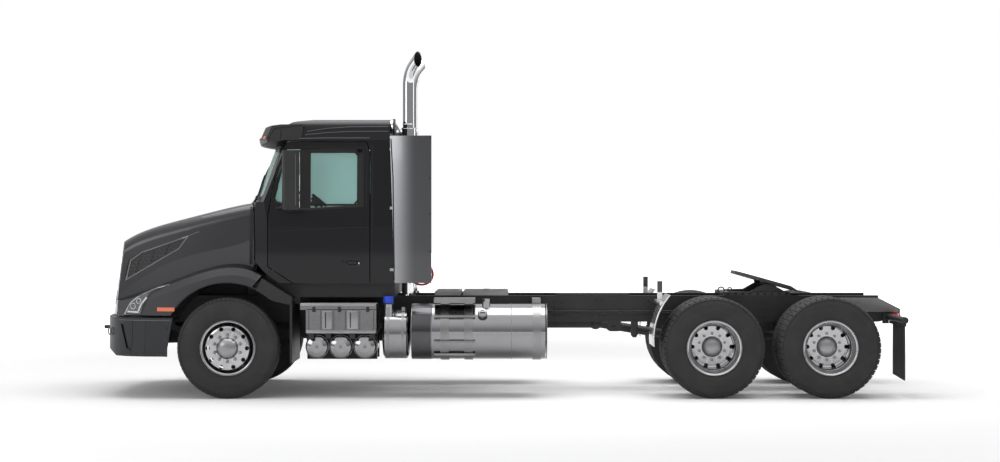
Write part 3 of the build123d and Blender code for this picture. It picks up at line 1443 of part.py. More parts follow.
def hub_solid(face_y, inner_y):
    """A hub about Y from an inner end to the cap past the disc's face, bored for the spindle."""
    hub = cross_cylinder(0, 0, inner_y, face_y, hub_radius)
    hub += hub_cap(face_y)
    for index in range(stud_count):
        angle = 2 * pi * (index + 0.5) / stud_count
        x, z = stud_circle_radius * cos(angle), stud_circle_radius * sin(angle)
        hub += cross_cylinder(x, z, face_y - 2 * disc_wall, face_y + stud_length, stud_radius)
    hub += cross_cylinder(0, 0, face_y - 2 * disc_wall, face_y - disc_wall, stud_circle_radius + 2 * stud_radius)
    drum = cross_cylinder(0, 0, face_y - disc_wall - drum_length, face_y - disc_wall, drum_radius)
    drum -= cross_cylinder(0, 0, face_y - 2 * disc_wall - drum_length, face_y - 2 * disc_wall,
                           drum_radius - drum_wall)
    hub += drum
    return hub - cross_cylinder(0, 0, inner_y - overrun, face_y + hub_cap_length / 3, hub_bore_radius)


def front_wheel():
    """The right front wheel at the origin of its axle end."""
    face_y = disc_outset
    hub = hub_solid(face_y, face_y - disc_wall - drum_length * 0.5)
    return wheel_solid(True) + hub


def rear_wheels():
    """The right twin wheels about the outer wheel's middle: two rims bolted disc to disc on one hub."""
    joint = -disc_outset
    inner_middle = -twin_spacing
    outer = wheel_solid(False)
    inner = Pos(0, inner_middle, 0) * wheel_solid(True)
    hub = hub_solid(joint + disc_wall, joint - drum_length * 0.9)
    sleeve = cross_cylinder(0, 0, inner_middle + disc_outset - disc_wall, joint + disc_wall,
                            stud_circle_radius + 2 * stud_radius)
    sleeve -= cross_cylinder(0, 0, inner_middle, joint + disc_wall * 2, hub_bore_radius)
    return outer + inner + sleeve + hub


def at_axle(shape, x, side):
    """A right wheel piece at an axle, mirrored for the left."""
    placed = Pos(x, tyre_y, axle_z) * shape
    return placed if side > 0 else mirror(placed, Plane.XZ)


# Air hose behind the cab: a fitting on the cab's back, a loop, and the coupling parked below

hose_diameter = 24.0
hose_route = [
    (-1085.0, -700.0, 1500.0),
    (-1005.0, -700.0, 1500.0),
    (-915.0, -710.0, 1490.0),
    (-826.0, -728.0, 1448.0),
    (-768.0, -742.0, 1376.0),
    (-762.0, -748.0, 1292.0),
    (-816.0, -740.0, 1222.0),
    (-905.0, -718.0, 1206.0),
    (-985.0, -690.0, 1238.0),
    (-1036.0, -668.0, 1300.0),
]
fitting_radius = 20.0
fitting_length = 70.0
coupling_radius = 34.0


def hose_arcs(points):
    """A fillet radius for each inner point of a route, as large as its two runs allow."""
    radii = []
    for before, here, after in zip(points, points[1:], points[2:]):
        run_in = Vector(*here) - Vector(*before)
        run_out = Vector(*after) - Vector(*here)
        turn = radians(run_in.get_angle(run_out))
        radii.append(0.45 * min(run_in.length, run_out.length) / tan(turn / 2))
    return radii


def air_hose():
    radii = hose_arcs(hose_route)
    print("hose radii", [round(radius) for radius in radii])
    path = FilletPolyline(*hose_route, radius=radii)
    start = path @ 0
    hose = sweep(Plane(origin=start, z_dir=path % 0) * Circle(hose_diameter / 2), path=path)
    print("hose length", round(path.length), "volume ratio",
          round(hose.volume / (pi * (hose_diameter / 2) ** 2 * path.length), 4))
    return hose


def hose_fittings():
    """The bulkhead fitting at the hose's start and the parking holder at its end."""
    start, end = hose_route[0], hose_route[-1]
    fitting = long_cylinder(cab_rear_x - 2 * cab_rear_lean, start[0], start[1], start[2], fitting_radius)
    fitting -= cab_volume(-seat_gap)
    last = Vector(*hose_route[-1]) - Vector(*hose_route[-2])
    direction = last.normalized()
    centre = Vector(*end) + direction * coupling_radius
    plane = Plane(origin=tuple(Vector(*end)), z_dir=tuple(direction))
    coupling = extrude(plane * Circle(coupling_radius), amount=2 * coupling_radius)
    holder = box(cab_rear_x - 2 * cab_rear_lean, centre.X, end[1] - fitting_radius, end[1] + fitting_radius,
                 centre.Z, centre.Z + fitting_radius)
    holder -= cab_volume(-seat_gap)
    return Compound(children=[fitting, coupling + holder])


def all_nodes():
    nodes = {
        "frame_rails": frame_rails() + hood_hinge(),
        "front_axle": front_axle(),
        "front_springs": front_springs(),
        "left_knuckle": knuckle(),
        "right_knuckle": mirror(knuckle(), Plane.XZ),
        "rear_axles": rear_axles(),
        "rear_suspension": rear_suspension(),
        "engine": engine(),
        "driveline": driveline(),
        "radiator": radiator(),
        "front_bumper": front_bumper(),
        "sun_visor": sun_visor(),
        "seats": seats(),
        "dashboard": dashboard(),
        "side_fairings": side_fairings(),
        "exhaust_stacks": exhaust_stacks(),
        "battery_box": battery_box() + air_tank_carrier(),
        "aftertreatment": aftertreatment(),
        "air_tanks": air_tanks(),
        "urea_tank": urea_tank(),
        "urea_cap": urea_cap(),
        "fuel_tanks": fuel_tanks(),
        "tank_straps": tank_straps(),
        "cab_mounts": cab_mounts(),
        "deck_plate": deck_plate(),
        "fender_extensions": fender_extensions(),
        "quarter_fenders": quarter_fenders(),
        "mud_flap_hangers": mud_flap_hangers(),
        "mud_flaps": mud_flaps(),
        "tail_lamps": tail_lamps(),
        "fifth_wheel_base": fifth_wheel_base(),
        "fifth_wheel_plate": fifth_wheel_plate(),
        "air_hose": air_hose(),
        "hose_fittings": hose_fittings(),
    }
    shell, grille, vents, lamps, markers = hood_pieces()
    nodes["hood_shell"] = shell
    nodes["hood_grilles"] = Compound(children=[grille] + list(vents.solids()))
    nodes["headlamps"] = lamps
    nodes["side_markers"] = markers
    body, roof, windshield, rear_glass, door, door_glass = cab_pieces()
    nodes["cab_body"] = body
    nodes["cab_roof"] = roof
    nodes["cab_glass"] = Compound(children=[windshield, rear_glass])
    for name, side in (("left", -1), ("right", 1)):
        nodes[f"{name}_door"] = on_side(door, side)
        nodes[f"{name}_door_glass"] = on_side(door_glass, side)
        nodes[f"{name}_mirror"] = on_side(door_mirror(), side)
    tyre = tyre_solid()
    front, rear = front_wheel(), rear_wheels()
    twin = Compound(children=[tyre_solid(), Pos(0, -twin_spacing, 0) * tyre_solid()])
    for name, side in (("left", -1), ("right", 1)):
        nodes[f"tyre_front_{name}"] = at_axle(tyre, front_axle_x, side)
        nodes[f"wheel_front_{name}"] = at_axle(front, front_axle_x, side)
        for number, x in enumerate(rear_axle_xs, start=1):
            nodes[f"tyres_rear_{number}_{name}"] = at_axle(twin, x, side)
            nodes[f"wheels_rear_{number}_{name}"] = at_axle(rear, x, side)
    return nodes


os.makedirs("parts", exist_ok=True)
for node_name, node_shape in all_nodes().items():
    export_step(node_shape, f"parts/{node_name}.step")
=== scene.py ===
"""Looks of a day-cab truck tractor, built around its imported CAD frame.

Metres. The front of the vehicle is at -X, its left side at -Y and the road at z = 0.
"""
import logging
import math
from contextlib import contextmanager
from dataclasses import dataclass, field, replace
from enum import Enum
from typing import Callable, Iterator, Sequence

import bpy
from mathutils import Matrix, Vector


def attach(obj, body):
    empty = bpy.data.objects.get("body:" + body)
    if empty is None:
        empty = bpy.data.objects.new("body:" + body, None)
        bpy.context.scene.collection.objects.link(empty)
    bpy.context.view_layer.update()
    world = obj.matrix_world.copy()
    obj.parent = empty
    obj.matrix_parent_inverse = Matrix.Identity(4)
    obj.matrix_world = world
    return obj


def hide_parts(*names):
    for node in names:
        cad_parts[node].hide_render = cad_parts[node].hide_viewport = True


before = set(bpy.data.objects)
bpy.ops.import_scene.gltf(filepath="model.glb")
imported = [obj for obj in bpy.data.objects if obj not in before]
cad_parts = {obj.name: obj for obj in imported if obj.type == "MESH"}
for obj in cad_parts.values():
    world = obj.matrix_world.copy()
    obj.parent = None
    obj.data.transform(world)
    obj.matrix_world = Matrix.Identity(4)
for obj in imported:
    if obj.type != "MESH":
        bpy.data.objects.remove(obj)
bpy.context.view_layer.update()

LOG = logging.getLogger("tractor")
Point = tuple[float, float, float]
Colour = tuple[float, float, float]
Pair = tuple[float, float]
Line = tuple[Pair, ...]
Places = tuple[float, ...]
SMOOTH_ANGLE = math.radians(32)


class Axis(Enum):
    """The vehicle's three directions."""

    ALONG = (1.0, 0.0, 0.0)
    ACROSS = (0.0, 1.0, 0.0)
    UP = (0.0, 0.0, 1.0)


ACROSS_MIRROR = Matrix.Scale(-1.0, 4, Axis.ACROSS.value)
NO_TURN = Matrix()


class Face(Enum):
    """A side of the vehicle that trim is laid on: its two axes, the axis off it and the outward sign of that."""

    LEFT = (0, 2, 1, -1.0)
    FRONT = (1, 2, 0, -1.0)

    def point(self, first: float, second: float, off: float = 5.5) -> Point:
        """A point off the side, by its two coordinates."""
        place = [0.0, 0.0, 0.0]
        place[self.value[0]], place[self.value[1]], place[self.value[2]] = first, second, self.value[3] * off
        return tuple(place)

    @property
    def inward(self) -> Vector:
        """The way towards the vehicle."""
        return -Vector(self.point(0.0, 0.0, 1.0))

    @property
    def flips(self) -> bool:
        """Whether the first axis turned to the second points inward."""
        return self is Face.FRONT


class Side(Enum):
    """Left and right of the vehicle, as the sign of Y."""

    LEFT = -1
    RIGHT = 1

    @property
    def word(self) -> str:
        """The side's name in bodies and nodes."""
        return self.name.lower()

    @property
    def turn(self) -> Matrix:
        """What brings a piece made on the left to this side."""
        return NO_TURN if self is Side.LEFT else ACROSS_MIRROR


# Material maths


class Signal:
    """A node's output that takes part in Python arithmetic."""

    def __init__(self, graph: "Graph", socket: bpy.types.NodeSocket) -> None:
        """Keeps the socket and the graph that it belongs to.

        Args:
            graph: The graph whose nodes the arithmetic adds.
            socket: The output socket.
        """
        self.graph = graph
        self.socket = socket

    def _math(self, operation: str, first: "Value", second: "Value") -> "Signal":
        """Adds a Math node and returns its output."""
        return self.graph.node("ShaderNodeMath", {"operation": operation}, {0: first, 1: second})

    def __add__(self, other: "Value") -> "Signal":
        """The sum."""
        return self._math("ADD", self, other)

    __radd__ = __add__

    def __sub__(self, other: "Value") -> "Signal":
        """The difference."""
        return self._math("SUBTRACT", self, other)

    def __rsub__(self, other: "Value") -> "Signal":
        """The difference, the other way round."""
        return self._math("SUBTRACT", other, self)

    def __mul__(self, other: "Value") -> "Signal":
        """The product."""
        return self._math("MULTIPLY", self, other)

    __rmul__ = __mul__

    def __truediv__(self, other: "Value") -> "Signal":
        """The quotient."""
        return self._math("DIVIDE", self, other)

    def wrap(self, period: float) -> "Signal":
        """The remainder over a period, never below zero."""
        return self._math("FLOORED_MODULO", self, period)

    def size(self) -> "Signal":
        """The value without its sign."""
        return self._math("ABSOLUTE", self, 0.0)

    def above(self, limit: "Value") -> "Signal":
        """One where the value is greater than the limit, else zero."""
        return self._math("GREATER_THAN", self, limit)

    def most(self, other: "Value") -> "Signal":
        """The greater of two values."""
        return self._math("MAXIMUM", self, other)

    def ramp(self, low: float, high: float) -> "Signal":
        """Goes smoothly from 0 at low to 1 at high.

        Args:
            low: The value that gives 0.
            high: The value that gives 1; it may be less than low.

        Returns:
            The share between the two.
        """
        return self.graph.node(
            "ShaderNodeMapRange",
            {"interpolation_type": "SMOOTHSTEP"},
            {"Value": self, "From Min": low, "From Max": high},
        )


Value = Signal | float | int | Sequence[float]


class Graph:
    """A node tree with one way of adding nodes."""

    def __init__(self, tree: bpy.types.NodeTree) -> None:
        """Empties the tree.

        Args:
            tree: The node tree of a material or a world.
        """
        self.tree = tree
        tree.nodes.clear()

    def feed(self, socket: bpy.types.NodeSocket, value: Value) -> None:
        """Links a signal to a socket, or sets the socket's own value."""
        if isinstance(value, Signal):
            self.tree.links.new(value.socket, socket)
        elif socket.type == "RGBA":
            socket.default_value = (*value, 1.0) if len(value) == 3 else value
        else:
            socket.default_value = value

    def node(
        self,
        kind: str,
        settings: dict[str, object] | None = None,
        inputs: dict[str | int, Value] | None = None,
        output: str | int = 0,
    ) -> Signal:
        """Adds a node, its settings first and then its sockets.

        Args:
            kind: The node's Blender type.
            settings: Attributes of the node; "stops" are a colour ramp's places and colours.
            inputs: Values or links by socket name or number.
            output: The output to return, by name or number.

        Returns:
            The chosen output.
        """
        node = self.tree.nodes.new(kind)
        for key, value in (settings or {}).items():
            if key == "stops":
                elements = node.color_ramp.elements
                while len(elements) < len(value):
                    elements.new(1.0)
                for element, (place, colour) in zip(elements, value):
                    element.position = place
                    element.color = (*colour, 1.0)
            else:
                setattr(node, key, value)
        for key, value in (inputs or {}).items():
            self.feed(node.inputs[key], value)
        return Signal(self, node.outputs[output])

    def place(self, stretch: Point = (1.0, 1.0, 1.0)) -> Signal:
        """The point on the object, each axis scaled.

        Args:
            stretch: Scale of each axis; a small one draws the pattern out along it.

        Returns:
            The scaled point.
        """
        point = self.node("ShaderNodeTexCoord", output="Object")
        return self.node("ShaderNodeMapping", {}, {"Vector": point, "Scale": stretch})

    def axis(self, name: str) -> Signal:
        """One coordinate of the point on the object, by the name X, Y or Z."""
        point = self.node("ShaderNodeTexCoord", output="Object")
        return self.node("ShaderNodeSeparateXYZ", {}, {0: point}, name)

    def noise(self, scale: float, detail: float = 3.0, stretch: Point = (1.0, 1.0, 1.0)) -> Signal:
        """Soft noise over the object, about 0.5.

        Args:
            scale: Waves in a metre.
            detail: How many finer layers are added.
            stretch: Scale of each axis.

        Returns:
            The noise from 0 to 1.
        """
        return self.node("ShaderNodeTexNoise", {},
                         {"Vector": self.place(stretch), "Scale": scale, "Detail": detail})

    def mix(self, share: Value, first: Value, second: Value) -> Signal:
        """A colour between two, by a share."""
        return self.node("ShaderNodeMix", {"data_type": "RGBA"}, {0: share, 6: first, 7: second}, 2)

    def bump(self, height: Signal, depth: float, strength: float = 1.0) -> Signal:
        """A normal from a height of 0 to 1.

        Args:
            height: The pattern's height.
            depth: The height of 1, in metres.
            strength: How strongly it turns the normal.

        Returns:
            The normal.
        """
        return self.node("ShaderNodeBump", {}, {"Height": height, "Distance": depth, "Strength": strength})

    def close(self, shader: Signal, kind: str) -> None:
        """Links a shader to a new output node of a kind."""
        output = self.tree.nodes.new(kind)
        self.feed(output.inputs["Surface"], shader)


# Finishes


Sockets = dict[str | int, Value]
# a height that no piece reaches
OUT_OF_REACH = 10.0


@dataclass(frozen=True)
class Finish:
    """A surface finish that makes its material once."""

    name: str
    colour: Colour
    roughness: float = 0.5
    metallic: float = 0.0

    def material(self) -> bpy.types.Material:
        """The finish's material, made at its first use."""
        found = bpy.data.materials.get(self.name)
        if found:
            return found
        material = bpy.data.materials.new(self.name)
        material.use_nodes = True
        material.diffuse_color = (*self.colour, 1.0)
        graph = Graph(material.node_tree)
        shader = graph.node("ShaderNodeBsdfPrincipled", {}, {"Metallic": self.metallic, **self.dress(graph)})
        graph.close(shader, "ShaderNodeOutputMaterial")
        return material

    def dress(self, graph: Graph) -> Sockets:
        """What the shader's sockets hold.

        Args:
            graph: The material's graph, which takes the pattern's nodes.

        Returns:
            Values and signals by socket name.
        """
        return {"Base Color": self.colour, "Roughness": self.roughness}

    def shade(self, times: float, plus: float = 0.0) -> Colour:
        """The colour made paler or darker."""
        return tuple(min(1.0, times * c + plus) for c in self.colour)


@dataclass(frozen=True)
class Paint(Finish):
    """Metallic paint under a clear coat, with road film low down."""

    metallic: float = 0.72
    roughness: float = 0.30
    flake: float = 0.25
    flake_scale: float = 1400.0
    coat: float = 0.5
    coat_index: float = 1.36
    coat_roughness: float = 0.035
    gloss: float = 0.3
    film: float = 0.16
    film_top: float = 1.0
    film_foot: float = 0.2
    film_colour: Colour = (0.07, 0.065, 0.06)
    # from where to where, along the vehicle, the colour turns from pale to its own: a painted highlight
    fade: Pair = (0.0, 0.0)

    def dress(self, graph: Graph) -> Sockets:
        """Flakes in the colour, a smooth coat, film that thins with height, and a painted highlight as a pale band
        if one is set.
        """
        sparkle = graph.noise(self.flake_scale, 1.0).ramp(0.42, 0.75) * self.flake
        base = graph.mix(sparkle, self.colour, self.shade(2.0, 0.004))
        if self.fade[0] != self.fade[1]:
            base = graph.mix(graph.axis("X").ramp(self.fade[1], self.fade[0]), base, self.shade(3.4))
        height = graph.axis("Z").ramp(self.film_top, self.film_foot)
        film = height * graph.noise(7.0, 5.0).ramp(0.38, 0.72) * self.film
        return {
            "Base Color": graph.mix(film, base, self.film_colour),
            "Roughness": self.roughness + film * 0.6 + graph.noise(2.2) * 0.05,
            "Coat Weight": self.coat - film, "Coat Roughness": self.coat_roughness,
            "Coat IOR": self.coat_index, "Specular IOR Level": self.gloss}


@dataclass(frozen=True)
class Metal(Finish):
    """Polished or brushed metal with fine lines along one direction."""

    metallic: float = 1.0
    roughness: float = 0.18
    grain: Point = (1.0, 40.0, 40.0)
    lines: float = 0.10
    line_depth: float = 0.00012
    wear: float = 0.08
    dull: float = 0.12
    # past these heights the other colour shows, over a soft edge
    above: float = OUT_OF_REACH
    below: float = -OUT_OF_REACH
    edge: float = 0.004
    other: Colour = (0.02, 0.02, 0.02)

    def dress(self, graph: Graph) -> Sockets:
        """Lines and clouds in the roughness, a little dullness, and another colour past the set heights."""
        line = graph.noise(9.0, 6.0, self.grain)
        cloud = graph.noise(3.5, 4.0).ramp(0.35, 0.75)
        base = graph.mix(cloud, self.colour, self.shade(1.0 - self.dull))
        if self.above < OUT_OF_REACH or self.below > -OUT_OF_REACH:
            high = graph.axis("Z").ramp(self.above, self.above + self.edge)
            low = graph.axis("Z").ramp(self.below, self.below - self.edge)
            base = graph.mix(high + low, base, self.other)
        return {
            "Base Color": base, "Normal": graph.bump(line, self.line_depth, 0.25),
            "Roughness": self.roughness + (line - 0.5) * self.lines + cloud * self.wear}


@dataclass(frozen=True)
class Cast(Finish):
    """Painted casting or forging with a rough skin and dust in patches."""

    roughness: float = 0.62
    grit: float = 260.0
    depth: float = 0.0006
    dust: float = 0.25
    dust_colour: Colour = (0.10, 0.095, 0.085)

    def dress(self, graph: Graph) -> Sockets:
        """A gritty bump, with dust where a slow noise is high."""
        skin = graph.noise(self.grit, 4.0)
        patch = graph.noise(5.0, 5.0).ramp(0.45, 0.8) * self.dust
        return {
            "Base Color": graph.mix(patch, self.colour, self.dust_colour),
            "Roughness": self.roughness + (skin - 0.5) * 0.2, "Normal": graph.bump(skin, self.depth, 0.5)}


@dataclass(frozen=True)
class Moulded(Finish):
    """Moulded plastic or satin paint with a fine leather-like grain."""

    roughness: float = 0.5
    cells: float = 520.0
    depth: float = 0.0003

    def dress(self, graph: Graph) -> Sockets:
        """A cell bump and slow changes of gloss."""
        cell = graph.node("ShaderNodeTexVoronoi", {}, {"Vector": graph.place(), "Scale": self.cells})
        cloud = graph.noise(4.0, 3.0)
        return {
            "Base Color": graph.mix(cloud.ramp(0.4, 0.8) * 0.5, self.colour, self.shade(1.5, 0.004)),
            "Roughness": self.roughness + (cloud - 0.5) * 0.12, "Normal": graph.bump(cell, self.depth, 0.35)}


@dataclass(frozen=True)
class Rubber(Finish):
    """Tyre and flap rubber with a grey bloom."""

    roughness: float = 0.72
    depth: float = 0.0003
    bloom: float = 0.35
    bloom_colour: Colour = (0.055, 0.053, 0.05)

    def dress(self, graph: Graph) -> Sockets:
        """Bloom in slow patches and a fine bump."""
        patch = graph.noise(6.0, 5.0).ramp(0.35, 0.75) * self.bloom
        skin = graph.noise(420.0, 2.0)
        return {
            "Base Color": graph.mix(patch, self.colour, self.bloom_colour),
            "Roughness": self.roughness + patch * 0.15, "Normal": graph.bump(skin, self.depth, 0.3)}


@dataclass(frozen=True)
class Glass(Finish):
    """Clear or tinted glass; the tint is what one face takes away."""

    index: float = 1.45
    clear: float = 1.0

    def dress(self, graph: Graph) -> Sockets:
        """A transmitting shader with faint dirt in its roughness."""
        dirt = graph.noise(3.0, 4.0).ramp(0.5, 0.9) * 0.03
        return {"Base Color": self.colour, "Roughness": dirt, "IOR": self.index, "Transmission Weight": self.clear}


@dataclass(frozen=True)
class Lens(Finish):
    """A coloured lamp lens with prisms behind it."""

    roughness: float = 0.12
    prisms: float = 110.0
    prism_depth: float = 0.001
    glow: float = 0.15

    def dress(self, graph: Graph) -> Sockets:
        """Ribbed colour under a coat, with a faint glow of its own."""
        rib = graph.node("ShaderNodeTexWave", {"bands_direction": "X"},
                         {"Vector": graph.place(), "Scale": self.prisms, "Distortion": 0.0})
        colour = graph.mix(rib * 0.6, self.colour, self.shade(1.9, 0.03))
        return {
            "Base Color": colour, "Roughness": self.roughness, "Coat Weight": 1.0, "Emission Color": colour,
            "Emission Strength": self.glow, "Normal": graph.bump(rib, self.prism_depth, 0.3)}


@dataclass(frozen=True)
class Honeycomb(Finish):
    """Black mesh of six-sided holes, seen from the side and the front; the holes are near-black painted shade."""

    roughness: float = 0.4
    pitch: float = 0.046
    wall_share: float = 0.16
    wall_depth: float = 0.004
    # cells that the pattern is moved by
    shift: float = 200.0
    # the holes' near-black is painted shade seen into the mesh
    hole_colour: Colour = (0.0015, 0.0015, 0.0015)

    def dress(self, graph: Graph) -> Sockets:
        """Distance from the nearest cell's middle, on two interleaved grids; the walls take the colour and the
        holes painted shade.
        """
        x = (graph.axis("X") + graph.axis("Y")) / self.pitch + self.shift
        z = graph.axis("Z") / self.pitch + self.shift
        tall = math.sqrt(3.0)
        first = x.wrap(1.0) - 0.5, z.wrap(tall) - tall / 2
        second = (x + 0.5).wrap(1.0) - 0.5, (z + tall / 2).wrap(tall) - tall / 2
        nearer = (second[0] * second[0] + second[1] * second[1]).above(first[0] * first[0] + first[1] * first[1])
        across, up = (b + (a - b) * nearer for a, b in zip(first, second))
        reach = across.size().most(across.size() * 0.5 + up.size() * (tall / 2))
        wall = reach.ramp(0.5 - self.wall_share, 0.5 - self.wall_share / 2)
        return {
            "Base Color": graph.mix(wall, self.hole_colour, self.colour), "Roughness": self.roughness,
            "Normal": graph.bump(wall, self.wall_depth, 0.8)}


@dataclass(frozen=True)
class Weave(Finish):
    """Woven seat cloth."""

    roughness: float = 0.9
    threads: float = 420.0
    thread_depth: float = 0.0006

    def dress(self, graph: Graph) -> Sockets:
        """Two crossed waves for the threads, in colour and height."""
        point = graph.place()
        warp, weft = (graph.node("ShaderNodeTexWave", {"bands_direction": way},
                                 {"Vector": point, "Scale": self.threads}) for way in "YZ")
        thread = warp * weft
        return {
            "Base Color": graph.mix(thread, self.colour, self.shade(1.8, 0.01)), "Roughness": self.roughness,
            "Sheen Weight": 0.3, "Normal": graph.bump(thread, self.thread_depth, 0.5)}


BODY_PAINT = Paint("charcoal body paint", (0.014, 0.014, 0.016))
# the body's charcoal made paler on the hood: painted reflection
LIT_HOOD_PAINT = Paint("charcoal hood paint", (0.042, 0.042, 0.045), metallic=0.8, roughness=0.27)
BUMPER_PAINT = Paint("charcoal bumper paint", (0.030, 0.031, 0.034), roughness=0.36, coat=0.35)
# its pale front band is a painted highlight over the fairing's own colour
FAIRING_PAINT = Paint("charcoal fairing paint", (0.085, 0.086, 0.090), metallic=0.9, roughness=0.27, coat=0.6,
                      fade=(-1.19, -0.93))
SEAM_BLACK = Moulded("seam black", (0.003, 0.003, 0.003), roughness=0.7)
CHASSIS_BLACK = Moulded("satin chassis black", (0.012, 0.012, 0.013), roughness=0.48, cells=300.0)
CAST_BLACK = Cast("painted casting black", (0.018, 0.018, 0.019))
DARK_PLASTIC = Moulded("moulded black", (0.010, 0.010, 0.011), roughness=0.46)
GLOSS_BLACK = Moulded("gloss black trim", (0.006, 0.006, 0.007), roughness=0.18, depth=0.00005)
GRILLE_BLACK = Honeycomb("grille mesh", (0.020, 0.020, 0.021))
LINER_BLACK = Moulded("liner black", (0.004, 0.004, 0.004), roughness=0.85)
CHROME = Metal("stack chrome", (0.66, 0.67, 0.68), roughness=0.05, lines=0.02, wear=0.03, dull=0.05)
POLISHED = Metal("polished aluminium", (0.31, 0.31, 0.32), roughness=0.15, grain=(1.0, 30.0, 30.0), wear=0.03,
                 dull=0.05, lines=0.05)
BOX_METAL = Metal("box aluminium", (0.20, 0.20, 0.205), roughness=0.25, grain=(1.0, 30.0, 30.0), wear=0.04,
                  dull=0.08, below=0.690)
SLEEVE_METAL = Metal("dark sleeve metal", (0.10, 0.10, 0.105), roughness=0.18, grain=(1.0, 30.0, 30.0), wear=0.03)
CAP_METAL = Metal("cast hub cap", (0.34, 0.34, 0.35), roughness=0.33, grain=(8.0, 8.0, 8.0), lines=0.04, wear=0.03)
# vent edging, and the paler grey of the painted highlights on the roof's drip rail and ridges, the bumper's top
# edge and the mirrors
EDGE_GREY = Metal("vent edging", (0.13, 0.13, 0.135), roughness=0.35, grain=(20.0, 20.0, 20.0))
BRUSHED = Metal("brushed steel straps", (0.30, 0.30, 0.30), roughness=0.28, grain=(30.0, 1.0, 30.0))
FORGED = Metal("forged wheel aluminium", (0.50, 0.50, 0.51), roughness=0.24, grain=(8.0, 8.0, 8.0), lines=0.04,
               wear=0.03, dull=0.05)
TREAD_METAL = Metal("serrated aluminium", (0.36, 0.36, 0.36), roughness=0.42, grain=(4.0, 30.0, 30.0))
BRIGHT_SHEET = Metal("bright fender sheet", (0.80, 0.80, 0.80), roughness=0.25, grain=(20.0, 1.0, 20.0),
                     above=1.135, other=(0.10, 0.10, 0.10))
# also the bright strip along the lamp's top and the fender's crease, which is a painted highlight
SATIN_TRIM = Metal("satin bright trim", (0.62, 0.63, 0.64), roughness=0.3, grain=(20.0, 20.0, 20.0))
TAIL_SHEET = Cast("grey tail sheet", (0.22, 0.22, 0.22), roughness=0.5, depth=0.0002)
MIRROR_GLASS = Metal("mirror glass", (0.86, 0.87, 0.88), roughness=0.01, lines=0.0, wear=0.01, dull=0.02)
BRASS = Metal("fitting brass", (0.56, 0.42, 0.18), roughness=0.32, grain=(5.0, 5.0, 5.0))
BLUE_PLASTIC = Moulded("blue cap plastic", (0.015, 0.07, 0.62), roughness=0.35)
TYRE_RUBBER = Rubber("tyre rubber", (0.018, 0.018, 0.018))
FLAP_RUBBER = Rubber("flap rubber", (0.012, 0.012, 0.012), roughness=0.6)
HOSE_RED = Rubber("red air line", (0.42, 0.008, 0.008), roughness=0.4, bloom=0.1, bloom_colour=(0.5, 0.05, 0.04))
GREASED = Cast("greased casting", (0.028, 0.028, 0.029), roughness=0.38, dust=0.2)
TINTED = Glass("tinted side glass", (0.50, 0.80, 0.76), clear=0.5)
SMOKED_LENS = Lens("smoked lamp lens", (0.012, 0.018, 0.028), roughness=0.06, glow=0.02, prisms=45.0)
LAMP_WHITE = Lens("white lamp bar", (0.62, 0.64, 0.66), roughness=0.1, glow=0.1)
AMBER = Lens("amber lens", (0.60, 0.085, 0.0), glow=0.12)
RED_LENS = Lens("red lens", (0.42, 0.008, 0.006))
SEAT_CLOTH = Weave("seat cloth", (0.035, 0.035, 0.038))


# Modelling


def deselect() -> None:
    """Leaves nothing selected."""
    bpy.ops.object.select_all(action="DESELECT")


